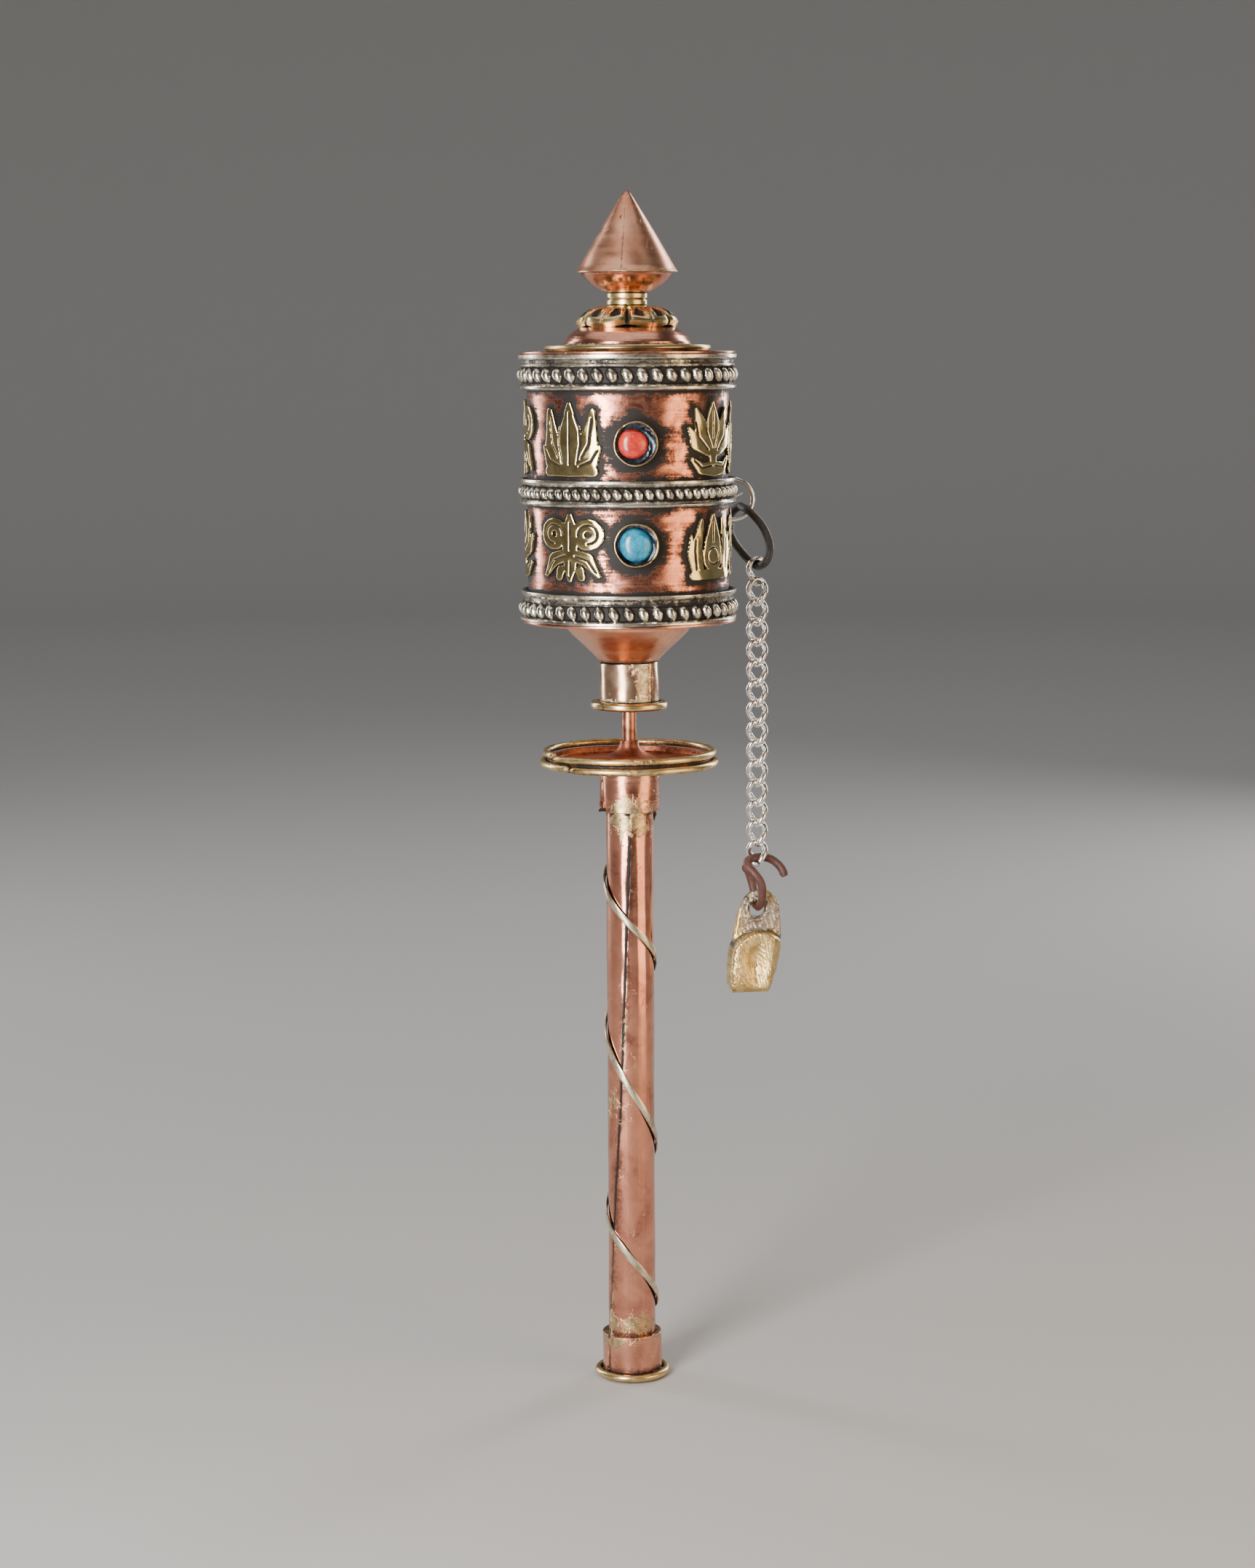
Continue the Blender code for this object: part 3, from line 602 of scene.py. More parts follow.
strip_wide, strip_thick = 1.3, 0.5
strip_turn = np.linspace(winding_turns[0], winding_turns[-1], 900)
strip_r = tube_r + 0.08 + strip_thick / 2 + 0.02 * np.sin(strip_turn * 2.3)
strip_path = np.stack([strip_r * np.sin(strip_turn), -strip_r * np.cos(strip_turn), winding_height(strip_turn)],
    axis=1)
strip_out = np.stack([np.sin(strip_turn), -np.cos(strip_turn), 0 * strip_turn], axis=1)
edge = np.linspace(-1, 1, 7)
crown = strip_thick / 2 * (1 - 0.35 * edge**4)
strip_section = np.concatenate([np.stack([crown, edge * strip_wide / 2], axis=1),
    np.stack([-crown, edge * strip_wide / 2], axis=1)[::-1]])
strip_swell = 1 + 0.06 * np.sin(strip_turn * 3.7)[:, None, None] * np.array([0, 1])
strip = swept("wound_wire", strip_path, strip_section[None] * strip_swell, strip_out, closed=False,
    marks=lambda rows: {"soot": 0.75 * (np.hypot(rows[:, :, 0], rows[:, :, 1]) < tube_r + 0.3)})
strip_metal = worn_metal("flat_wire", (0.84, 0.75, 0.56), (0.52, 0.43, 0.29), (200, 200, 200), (0.2, 0.4), blotch=400,
    relief=0.08)
settle(strip, strip_metal, "handle", "white_metal", "spiral_wire")

# ------------------------------------------------------------- guard dish
# A shallow copper saucer keeps the hand from the turning drum. Two rings of
# brass wire are soldered one above the other round its rim.
dish_low, dish_high, dish_r = span("guard_dish")
dish_corners = [(1.55, dish_low), (dish_r - 0.6, dish_low, 0.5), (dish_r, dish_low + 0.5, 0.3),
    (dish_r, dish_high, 0.1), (dish_r - 0.5, dish_high, 0.1), (dish_r - 0.6, dish_low + 0.9, 0.5),
    (dish_r - 2.2, dish_low + 0.62, 0.6), (1.55, dish_low + 0.62)]
dish = turned("guard_dish_spun", outline(dish_corners, 0.5), 200, shape=lambda t, r,
    h: (r, h + (r > 4) * (r < dish_r - 1) * waves(t, r, 0.05, 31, (5, 15))), marks=lambda t, r,
    h: {"soot": 0.25 * near(r, dish_r - 0.6, 0.7) + 0.4 * (r > dish_r - 0.15) + 0.4 * near(r, 6.0,
    1.2) + 0.2 * (h < dish_low + 0.1), "solder": 0.5 * near(r, 5.9, 0.7)})
settle(dish, dull_copper, "handle", "copper", "guard_dish")


def guard_marks(rows):
    turn = np.arctan2(rows[:, :, 0], -rows[:, :, 1])
    flat = np.hypot(rows[:, :, 0], rows[:, :, 1])
    mean = flat.mean(1, keepdims=True)
    under = rows[:, :, 2] < rows[:, :, 2].mean(1, keepdims=True) - 0.3
    blobs = np.clip(np.sin(turn * 2 + 2.2) + np.sin(turn * 5 + 0.5) - 0.7, 0, 1)
    return {"soot": 0.3 * np.clip((mean - flat) / 0.55, 0, 1) + 0.3 * under, "solder": 0.8 * blobs}


upper_ring = bent_ring("guard_ring_upper_wire", "guard_ring_upper", 0.7, math.radians(-61), 0.1, 0.3, 41, guard_marks)
settle(upper_ring, brass_wire, "handle", "brass", "guard_ring_upper")
lower_ring = bent_ring("guard_ring_lower_wire", "guard_ring_lower", 0.7, math.radians(-42.4), 0.1, 0.1, 43,
    guard_marks)
settle(lower_ring, brass_wire, "handle", "brass", "guard_ring_lower")

# ---------------------------------------------------------------- spindle
# The browned copper rod on which the drum turns. A cone of copper-coloured
# solder holds its foot in the dish.
fillet_low, fillet_high, fillet_r = span("spindle_fillet")
fillet_line = [(fillet_r, 0), (6.9, 0.35), (6.1, 0.6), (5.2, 0.95), (3.9, 1.6), (3.1, 2.1), (2.55, 2.55),
    (2.15, 3.05), (1.9, 3.65), (1.7, 4.6)]
fillet_profile = np.concatenate([[(1.5, 0)], spread(fillet_line, 46), [(1.5, 4.6)]]) + (0, fillet_low)
fillet_profile[:, 1] = np.minimum(fillet_profile[:, 1], fillet_high)
fillet = turned("spindle_fillet_poured", fillet_profile, 120, shape=lambda t, r,
    h: (r + (r > 1.6) * waves(t, h * 3, 0.14 * np.clip((r - 1.6) / 3, 0.15, 1), 51, (4, 12)), h), marks=lambda t, r,
    h: {"soot": 0.5 * near(r, fillet_r, 0.8) + 0.25 * near(h, fillet_high, 1.0)})
settle(fillet, dull_copper, "handle", "dark_copper", "spindle_fillet")
rod_metal = worn_metal("spindle_metal", (0.66, 0.28, 0.17), (0.36, 0.14, 0.08), (60, 60, 2500), (0.26, 0.45),
    blotch=300, mottle=1.3)
rod_low, rod_high, rod_r = span("spindle_rod")
thread_low = rod_high - 9.5


def rod_shape(turn, radius, height):
    """The top is threaded: the radius follows a wave that climbs one pitch a turn."""
    pitch = 0.5
    wave = 0.5 + 0.5 * np.cos(2 * math.pi * height / pitch - turn)
    threaded = np.clip((height - thread_low) / 0.5, 0, 1) * (radius > 1.0)
    return radius - 0.14 * wave * threaded, height


rod_corners = [(0, rod_low), (rod_r, rod_low), (rod_r, thread_low), (rod_r, rod_high - 0.5),
    (rod_r - 0.5, rod_high, 0.1), (0, rod_high)]
rod_line = outline(rod_corners, 2.0, closed=False)
thread_rows = np.arange(thread_low, rod_high - 0.5, 0.07)
rod_line = np.concatenate([rod_line[(rod_line[:, 1] < thread_low)],
    np.stack([0 * thread_rows + rod_r, thread_rows], axis=1), rod_line[(rod_line[:, 1] > rod_high - 0.5)]])
rod = turned("spindle_threaded", rod_line, 40, rod_shape, closed=False)
settle(rod, rod_metal, "handle", "dark_copper", "spindle_rod")

# ------------------------------------------------------------ ornament plates
# Two rows of six cut-out brass plates are soldered to the drum, three between
# each pair of stones. Each is a scroll, leaf or lotus figure of sawn sheet
# with a line engraved inside its edge.
drum_low, drum_high, drum_r = span("drum_shell")
plate_thick = 0.5


def arc(x, y, radius, start, end):
    """Points of a circular arc in degrees, for one stroke of a figure."""
    turn = np.radians(np.linspace(start, end, 12))
    return np.stack([x + radius * np.cos(turn), y + radius * np.sin(turn)], axis=1).tolist()


def both(strokes):
    """Strokes of the right half, and the same turned over to the left."""
    return strokes + [(half, [(-x, y) for x, y in line]) for half, line in strokes]


# Each figure is sheet and cuts. The sheet is strokes of (half widths, points)
# in millimetres from the middle; a stroke swells and tapers from point to
# point. The cuts are the lines engraved in it.
PALMETTE = (both([([2.5, 2.7, 0.5], [(0, -3.6), (0, 1.4), (0, 7.0)]),
    ([1.3, 2.0, 0.7], [(1.2, -4.6), (4.2, -0.8), (5.0, 5.6)]),
    ([1.1, 1.4, 0.5], [(1.5, -5.6), (4.9, -4.4), (6.4, -1.6)]), ([1.2, 1.1], [(0, -6.3), (5.2, -6.3)])]),
    both([(0, [(0, -5.0), (0, 5.4)]), (0, [(1.7, -4.9), (2.5, -1.0), (2.3, 2.0), (1.2, 4.9)]),
    (0, [(2.6, -3.8), (4.3, -0.8), (4.9, 4.2)]), (0, [(2.2, -5.3), (4.8, -4.2), (6.0, -2.2)])]))
LOTUS = (both([([1.9, 2.7, 0.4], [(0, -1.4), (0, 2.4), (0, 7.1)]),
    ([1.6, 2.1, 0.4], [(1.2, -1.4), (3.3, 1.6), (5.0, 6.0)]),
    ([1.3, 1.7, 0.4], [(1.6, -2.2), (4.7, -0.6), (6.7, 2.2)]), ([1.3, 1.0, 1.7], [(0, -2.2), (0, -4.6), (0, -6.0)]),
    ([1.6, 1.2, 0.5], [(0, -6.1), (3.6, -6.0), (6.0, -4.0)])]),
    both([(0, [(0.5, -1.8), (2.1, 1.4), (1.9, 4.6)]), (0, [(1.6, -2.2), (4.3, 0.4), (5.0, 3.4)]),
    (0, [(0, 0.2), (0, 5.6)]), (0, [(0.4, -5.4), (3.4, -5.8), (5.4, -4.3)])]))
JEWEL = (both([([3.2, 2.6, 0.5], [(0, -2.4), (0, 1.0), (0, 6.8)]),
    ([1.0, 1.5, 0.4], [(3.9, -4.4), (4.7, 0.2), (3.5, 6.0)]),
    ([0.9, 1.2, 0.3], [(5.3, -5.2), (6.0, -1.6), (6.2, 2.6)]), ([1.2, 1.2], [(0, -6.3), (5.4, -6.3)])]),
    both([(0, arc(0, -2.2, 1.9, -90, 90)), (0, [(2.9, -5.0), (3.5, -0.4), (2.3, 4.2)]), (0, [(0, 0.8), (0, 5.6)]),
    (0, [(4.9, -5.0), (5.3, -0.8), (5.1, 1.6)])]))
KNOT = (both([(1.25, [(0, 6.2), (4.6, 1.9), (0, -2.4)]), (1.25, [(0, 2.4), (4.6, -1.9), (0, -6.2)]),
    (1.15, arc(4.6, 0, 1.9, -90, 90)), (1.0, [(2.4, 5.4), (4.6, 5.6), (5.9, 4.4)]),
    (1.0, [(2.4, -5.4), (4.6, -5.6), (5.9, -4.4)])]), both([(0, [(0, 6.2), (4.6, 1.9), (2.6, 0.1)]),
    (0, [(0, 2.4), (1.9, 0.7)]), (0, [(2.9, -0.4), (4.6, -1.9), (0, -6.2)]), (0, [(1.9, -0.6), (0, -2.4)]),
    (0, arc(4.6, 0, 1.9, -80, 80))]))
VASE = (both([([2.0, 3.7, 2.6, 1.5], [(0, -5.0), (0, -0.8), (0, 2.0), (0, 4.2)]), (1.0, [(0, 5.0), (3.0, 5.2)]),
    ([1.5, 0.4], [(0, 5.4), (0, 7.3)]), (1.15, [(0, -6.4), (4.0, -6.4)]),
    ([0.9, 1.4, 0.9, 1.1], [(2.4, 3.4), (5.4, 1.6), (5.3, -2.4), (6.0, -6.2)])]),
    both([(0, [(0, 2.3), (2.4, 2.3)]), (0, [(0, -2.6), (1.6, -1.6), (3.4, -0.4)]), (0, [(0, -3.6), (2.6, -2.4)]),
    (0, [(4.2, 2.2), (5.6, 0.6), (5.3, -2.4), (5.9, -5.6)])]))
CLOUD = (both([([1.6, 2.2, 0.6], [(0, -1.2), (0, 3.0), (0, 7.1)]), (1.45, arc(3.9, 3.0, 2.1, 200, -110)),
    ([1.3, 1.5, 0.5], [(0.4, -1.4), (3.8, -2.6), (6.2, -6.2)]), ([1.8, 1.3, 0.5], [(0, -2.0), (0, -4.8), (0, -7.2)]),
    ([1.0, 0.8], [(2.2, -5.0), (2.6, -6.6)])]), both([(0, arc(3.9, 3.0, 2.1, 190, -90)), (0, [(0, -0.6), (0, 5.6)]),
    (0, [(1.2, -1.8), (3.9, -2.8), (5.6, -5.4)]), (0, [(0, -3.0), (0, -6.2)])]))
UPPER_FIGURES = (LOTUS, JEWEL, KNOT, VASE, CLOUD, PALMETTE)
LOWER_FIGURES = (JEWEL, PALMETTE, VASE, KNOT, LOTUS, CLOUD)
plate_turns = np.radians([54, 94, 136, -126, -85, -34])  # between the stones at 4 and 184 degrees
upper_plate_z, lower_plate_z = 192.0, 171.2
upper_plate_scale, lower_plate_scale = (0.98, 0.96), (0.98, 0.87)


def figure_depth(across, up, strokes):
    """Distance in from the edge of the nearest stroke, negative outside: half width less the distance to its line."""
    best = np.full(np.shape(across), -99.0)
    for half, line in strokes:
        line = np.asarray(line, float)
        halves = np.broadcast_to(half, len(line)) if np.ndim(half) == 0 else half
        for (x0, y0), (x1, y1), h0, h1 in zip(line[:-1], line[1:], halves[:-1], halves[1:]):
            dx, dy = x1 - x0, y1 - y0
            t = np.clip(((across - x0) * dx + (up - y0) * dy) / (dx * dx + dy * dy), 0, 1)
            best = np.maximum(best, h0 + (h1 - h0) * t - np.hypot(across - x0 - t * dx, up - y0 - t * dy))
    return best


def sawn(x, y, depth_at):
    """The squares of a grid that lie in a shape, and their open edges.

    depth_at(x, y) is the distance in from the shape's outline. A point that has strayed outside is moved twice
    against the slope of that distance, by as much as it lacks, and so onto the outline.
    """
    rows, columns = len(y), len(x)
    x, y = (g.ravel() for g in np.meshgrid(x, y))
    quads = grid_faces(rows, columns, close_columns=False)
    depth = depth_at(x, y)
    quads = quads[(depth[quads] > -0.11).all(1) & (depth[quads].mean(1) > 0)]
    step = 0.02
    for _ in range(2):
        gx = (depth_at(x + step, y) - depth_at(x - step, y)) / (2 * step)
        gy = (depth_at(x, y + step) - depth_at(x, y - step)) / (2 * step)
        size = np.maximum(np.hypot(gx, gy), 0.3) ** 2
        stray = np.where(depth < 0, depth, 0)
        x, y = x - stray * gx / size, y - stray * gy / size
        depth = depth_at(x, y)
    used, quads = np.unique(quads, return_inverse=True)
    quads = quads.reshape(-1, 4)
    edges = np.concatenate([quads[:, [k, (k + 1) % 4]] for k in range(4)]).tolist()
    known = {tuple(edge) for edge in edges}
    rim = np.array([edge for edge in edges if (edge[1], edge[0]) not in known])
    return x[used], y[used], depth[used], quads, rim


def plate(name, figure, scale, at_turn, at_height, slot_name, seed):
    """A sawn figure laid round the drum, filed at its edge and cut by the engraved lines."""
    strokes, cuts = figure
    grid_x, grid_y = np.arange(-7.3, 7.31, 0.165), np.arange(-8.0, 8.01, 0.165)
    x, y, depth, quads, rim = sawn(grid_x, grid_y, lambda a, b: figure_depth(a, b, strokes))
    chance = np.random.default_rng(seed)
    cut = near(figure_depth(x, y, cuts), 0, 0.17)
    crown = plate_thick * (1 - 0.3 * np.clip(1 - depth / 0.2, 0, 1) ** 2) - 0.2 * cut
    beaten = waves(x / 3, y, 0.04, seed, (4, 12)) + 0.1 * chance.uniform(-1, 1) * x / 6
    top_r = drum_r + crown + beaten
    turn = at_turn + (x * scale[0] + chance.uniform(-0.15, 0.15)) / drum_r
    height = at_height + y * scale[1] + chance.uniform(-0.15, 0.15)
    directions = np.stack([np.sin(turn), -np.cos(turn)], axis=1)
    top = np.column_stack([directions * top_r[:, None], height])
    foot = np.column_stack([directions * (drum_r - 0.06), height])
    count = len(top)
    walls = np.concatenate([rim[:, ::-1], rim + count], axis=1)
    faces = np.concatenate([quads, quads[:, ::-1] + count, walls]).tolist()
    soot = np.concatenate([1.15 * cut + 0.2 * near(depth, 0.0, 0.12), np.ones(count)])
    made = write_mesh(name, np.concatenate([top, foot]), faces, {"soot": soot})
    return settle(made, plate_brass, "drum", slot_name)


plate_brass = worn_metal("plate_brass", (0.93, 0.75, 0.37), (0.70, 0.52, 0.22), (220, 220, 500), (0.06, 0.2),
    blotch=300, relief=0.03)
for row, figures, middle, scale in (("upper", UPPER_FIGURES, upper_plate_z, upper_plate_scale),
    ("lower", LOWER_FIGURES, lower_plate_z, lower_plate_scale)):
    for k, (figure, at_turn) in enumerate(zip(figures, plate_turns)):
        plate(f"plate_{row}_{k + 1}", figure, scale, at_turn, middle, "brass", 100 + 10 * k + len(row))

# ------------------------------------------------------------- drum shell
# A copper tube, brushed round and round. Black has gathered against every
# plate, setting and band; the open places between are rubbed salmon pink.
coral_z = sum(span("coral_bezel_front")[:2]) / 2
turquoise_z = sum(span("turquoise_bezel_front")[:2]) / 2
stone_turns = np.radians([4, 184])
band_edges = [span("upper_band")[0], span("middle_band")[1], span("middle_band")[0], span("lower_band")[1]]


def shell_marks(turn, radius, height):
    """Black falls away from the nearest plate's edge, setting or band over about a millimetre."""
    soot = 0 * turn
    for figures, middle, scale in ((UPPER_FIGURES, upper_plate_z, upper_plate_scale),
        (LOWER_FIGURES, lower_plate_z, lower_plate_scale)):
        for figure, at_turn in zip(figures, plate_turns):
            across = angle_gap(turn, at_turn) * drum_r / scale[0]
            up = (height - middle) / scale[1]
            close = (np.abs(across) < 9) & (np.abs(up) < 9.5)
            gap = np.full(turn.shape, 9.0)
            gap[close] = -figure_depth(across[close], up[close], figure[0])
            soot = np.maximum(soot, 0.95 * np.exp(-((np.clip(gap, 0, None) / 1.4) ** 2)))
    for middle in (coral_z, turquoise_z):
        for at_turn in stone_turns:
            gap = np.hypot(angle_gap(turn, at_turn) * drum_r, height - middle) - 4.3
            soot = np.maximum(soot, 0.95 * np.exp(-((np.clip(gap, 0, None) / 2.5) ** 2)))
    for edge_z in band_edges:
        soot = np.maximum(soot, 0.8 * near(height, edge_z, 1.2 + 0.4 * np.sin(7 * turn)))
    streaks = 0.07 * np.sin(height * 1.3 + 2 * np.sin(turn * 3)) * near(np.sin(turn * 2.5), 1, 0.6)
    return {"soot": 0.1 + soot + streaks}


drum_copper = worn_metal("drum_copper", (0.88, 0.38, 0.26), (0.52, 0.18, 0.11), (25, 25, 1500), (0.16, 0.34),
    blotch=290, mottle=1.6, brushed=1.2)
shell_corners = [(drum_r - 0.6, drum_low), (drum_r, drum_low, 0.1), (drum_r, drum_high, 0.1),
    (drum_r - 0.6, drum_high)]
shell = turned("drum_shell_rolled", outline(shell_corners, 0.4), 340, shape=lambda t, r,
    h: (r + (r > drum_r - 0.3) * (waves(t, h, 0.035, 61, (8, 40)) - 0.05), h), marks=shell_marks)
settle(shell, drum_copper, "drum", "copper", "drum_shell")

# ------------------------------------------------------------ beaded bands
# Three cast white-metal bands grip the drum. Each has a rounded lip above and
# below and a row of upright beads in the groove between.


def beaded_band(name, node, beads, bead_middle, bead_wide, bead_tall, corners, proud, lean, seed):
    """A turned band with half-egg beads raised from its groove.

    A bead's rise is the square root of what is left of 1 after its middle's squared distances across and up.
    """
    bottom = span(node)[0]
    reach = max(c[0] for c in corners)
    profile = outline([(c[0], c[1] + bottom, *c[2:]) for c in corners], 0.22, arc_steps=6)
    outside = profile[:, 0] > drum_r + 0.5

    def bead_lift(turn, height):
        jitter = 0.05 * np.sin(turn * 5 + seed)
        across = (angle_gap(turn * beads, 0) / beads) * reach + lean * (height - bead_middle) + jitter
        skew = np.where(across > 0, 0.92, 1.08)
        left = 1 - (across / (bead_wide / 2 * skew)) ** 2 - ((height - bead_middle) / (bead_tall / 2)) ** 2
        return proud * np.sqrt(np.clip(left, 0, 1))

    def shape(turn, radius, height):
        on_face = outside[:, None] & (np.abs(height - bead_middle) < bead_tall * 0.7)
        lift = bead_lift(turn, height)
        return radius + on_face * lift + outside[:, None] * waves(turn, height * 2, 0.05, seed, (5, 20)), height

    def marks(turn, radius, height):
        lift = bead_lift(turn, height)
        bead_zone = np.clip(1.6 - 2.2 * np.abs(height - bead_middle) / bead_tall, 0, 1)
        hollow = np.clip(reach - radius, 0, 1.2) / 0.75
        bare = np.clip(1 - lift / (0.4 * proud), 0, 1)
        soot = 0.52 * hollow * bare + 0.6 * bead_zone * bare
        return {"soot": np.where(outside[:, None], soot, 1.0)}

    band = turned(name, profile, beads * 14 if beads < 50 else beads * 11, shape, marks)
    return settle(band, white_metal, "drum", "white_metal", node)


inner = drum_r + 0.08
upper_corners = [(inner, 0.0), (21.0, 0.0, 0.1), (21.45, 0.25, 0.25), (21.5, 0.75, 0.3), (21.05, 1.15, 0.25),
    (20.75, 1.5, 0.2), (20.7, 4.3, 0.25), (21.2, 4.6, 0.2), (21.25, 4.95, 0.15), (20.9, 5.25, 0.15),
    (20.9, 5.75, 0.15), (21.45, 6.15, 0.25), (21.5, 6.9, 0.15), (inner, 6.9)]
lower_corners = [(inner, 0.0), (21.5, 0.0, 0.1), (21.5, 0.45, 0.15), (21.1, 0.8, 0.2), (20.7, 1.0, 0.2),
    (20.65, 3.5, 0.3), (21.0, 3.8, 0.15), (20.8, 4.2, 0.15), (20.85, 4.7, 0.2), (21.3, 5.15, 0.2), (21.45, 5.8, 0.15),
    (inner, 5.8)]
middle_corners = [(inner, 0.0), (21.2, 0.0, 0.1), (21.5, 0.4, 0.2), (21.15, 0.95, 0.25), (20.75, 1.25, 0.2),
    (20.7, 3.6, 0.3), (21.1, 3.95, 0.25), (21.45, 4.5, 0.25), (21.4, 5.0, 0.1), (inner, 5.0)]
beaded_band("upper_band_cast", "upper_band", 45, 204.2, 2.35, 2.9, upper_corners, 1.1, 0.25, 71)
beaded_band("middle_band_cast", "middle_band", 64, 181.45, 1.85, 2.3, middle_corners, 1.05, 0.3, 72)
beaded_band("lower_band_cast", "lower_band", 46, 158.45, 2.2, 2.8, lower_corners, 1.15, 0.25, 73)

# ---------------------------------------------------------- stones in bezels
# Opaque polished beads, coral above and turquoise below, set in strips of
# brass bent round into a cup and filled with dark cement.


def on_drum(points, at_turn, at_height):
    """Points made about +Z are laid so that +Z looks out of the drum, X runs round it and Y up."""
    out = np.array([math.sin(at_turn), -math.cos(at_turn), 0.0])
    side = np.array([math.cos(at_turn), math.sin(at_turn), 0.0])
    up = np.array([0.0, 0.0, 1.0])
    middle = out * drum_r + up * at_height
    return middle + points[..., :1] * side + points[..., 1:2] * up + points[..., 2:] * out


def lathe(profile, around):
    """Grid of points turned about +Z from (radius, height) rows, and the angle at each."""
    turn = np.linspace(0, 2 * math.pi, around, endpoint=False)[None, :] + 0 * profile[:, :1]
    radius = profile[:, :1] + 0 * turn
    return turn, radius, profile[:, 1:] + 0 * turn


def bezel(name, node, at_turn, at_height, split, seed):
    """A bent strip, a little out of round, with a nick where its ends meet."""
    profile = outline([(3.85, -0.7), (4.28, -0.7), (4.28, 1.85, 0.2), (3.9, 1.85, 0.15)], 0.3)
    turn, radius, height = lathe(profile, 110)
    radius = radius + waves(turn, height, 0.06, seed, (5, 15)) + 0.05 * np.cos(2 * turn + seed)
    height = height + (height > 0.5) * (waves(turn, 0 * turn, 0.07, seed + 1) - 0.45 * near(angle_gap(turn, split), 0,
        0.09))
    points = np.stack([radius * np.cos(turn), radius * np.sin(turn), height], axis=2)
    soot = 0.65 * (radius < 4.05) + 0.7 * near(height, 0, 0.5) + 0.6 * near(angle_gap(turn, split), 0, 0.06)
    quads = grid_faces(len(profile), 110, close_rows=True)
    made = write_mesh(name, *welded(on_drum(points.reshape(-1, 3), at_turn, at_height), quads, {"soot": soot}))
    return settle(made, brass, "drum", "brass", node)


def stone(name, node, material, slot_name, at_turn, at_height, size, shift, flat, seed):
    """A lopsided dome: its radius and height vary a few hundredths round the bead."""
    rise = np.linspace(0, math.pi / 2, 22)
    profile = np.stack([size * np.cos(rise) ** 0.85, 0.7 + 1.75 * np.sin(rise) ** flat], axis=1)
    profile = np.concatenate([[(size * 0.97, 0.1)], profile])
    turn, radius, height = lathe(profile, 96)
    radius = radius * (1 + 0.02 * np.cos(2 * turn + seed) + 0.012 * np.cos(3 * turn))
    points = np.stack([shift[0] + radius * np.cos(turn), shift[1] + radius * np.sin(turn), height], axis=2)
    quads = grid_faces(len(profile), 96)
    made = write_mesh(name, *welded(on_drum(points.reshape(-1, 3), at_turn, at_height), quads, None))
    return settle(made, material, "drum", slot_name, node)


def cement(name, at_turn, at_height, seed):
    """The filling between bead and strip, dished and lumpy."""
    radius_steps = np.linspace(0, 3.95, 14)
    profile = np.stack([radius_steps[::-1], 0.55 + 0.35 * (radius_steps[::-1] / 3.95) ** 3], axis=1)
    profile = np.concatenate([[(3.95, -0.5)], profile])
    turn, radius, height = lathe(profile, 72)
    height = height + (height > 0) * waves(turn, radius * 4, 0.08, seed, (3, 8)) * (radius > 0.1)
    points = np.stack([radius * np.cos(turn), radius * np.sin(turn), height], axis=2)
    made = write_mesh(name, *welded(on_drum(points.reshape(-1, 3), at_turn, at_height), grid_faces(len(profile), 72),
        None))
    return settle(made, cement_paste, "drum", "white_metal")


def polished_stone(name, colour, deep, vein):
    """An opaque bead: clouds of a deeper tone, a few fine veins and a hard polish over light scratches."""
    material, tree, shader, where = fresh(name)
    cloud = noise(tree, where, 420, 5, 0.6, 0.8)
    veins = cells(tree, where, 520.0)
    tone = blend(tree, ramp(tree, cloud, (0.4, 0.0), (0.62, 1.0)), colour, deep)
    tone = blend(tree, ramp(tree, veins, (0.0, 0.55), (0.06, 0.0)), tone, vein)
    fine = noise(tree, where, 6000, 3, 0.6)
    surface(tree, shader, tone, ramp(tree, fine, (0.3, 0.1), (0.75, 0.32)), fine, 0.25, 0.02)
    polish = {"Coat Weight": 0.5, "Coat Roughness": 0.12, "Subsurface Weight": 0.08, "Subsurface Scale": 0.001}
    for socket, value in polish.items():
        shader.inputs[socket].default_value = value
    return material


coral = polished_stone("coral_bead", (0.72, 0.065, 0.035), (0.42, 0.02, 0.015), (0.30, 0.02, 0.015))
turquoise = polished_stone("turquoise_bead", (0.022, 0.30, 0.46), (0.012, 0.17, 0.30), (0.01, 0.06, 0.09))
cement_paste = worn_metal("cement_paste", (0.10, 0.12, 0.16), (0.03, 0.03, 0.035), (300, 300, 300), (0.15, 0.4),
    blotch=700, relief=0.2)
for side, at_turn in zip(("front", "back"), stone_turns):
    bezel(f"coral_bezel_{side}_strip", f"coral_bezel_{side}", at_turn, coral_z, 2.3, 81 + len(side))
    bezel(f"turquoise_bezel_{side}_strip", f"turquoise_bezel_{side}", at_turn, turquoise_z, -0.75, 83 + len(side))
    cement(f"coral_cement_{side}", at_turn, coral_z, 85)
    cement(f"turquoise_cement_{side}", at_turn, turquoise_z, 86)
    stone(f"coral_{side}", f"coral_stone_{side}", coral, "coral", at_turn, coral_z, 2.85, (-0.5, -0.05), 0.9, 1.0)
    stone(f"turquoise_{side}", f"turquoise_stone_{side}", turquoise, "turquoise", at_turn, turquoise_z, 3.2,
        (0.0, 0.0), 1.0, 2.0)

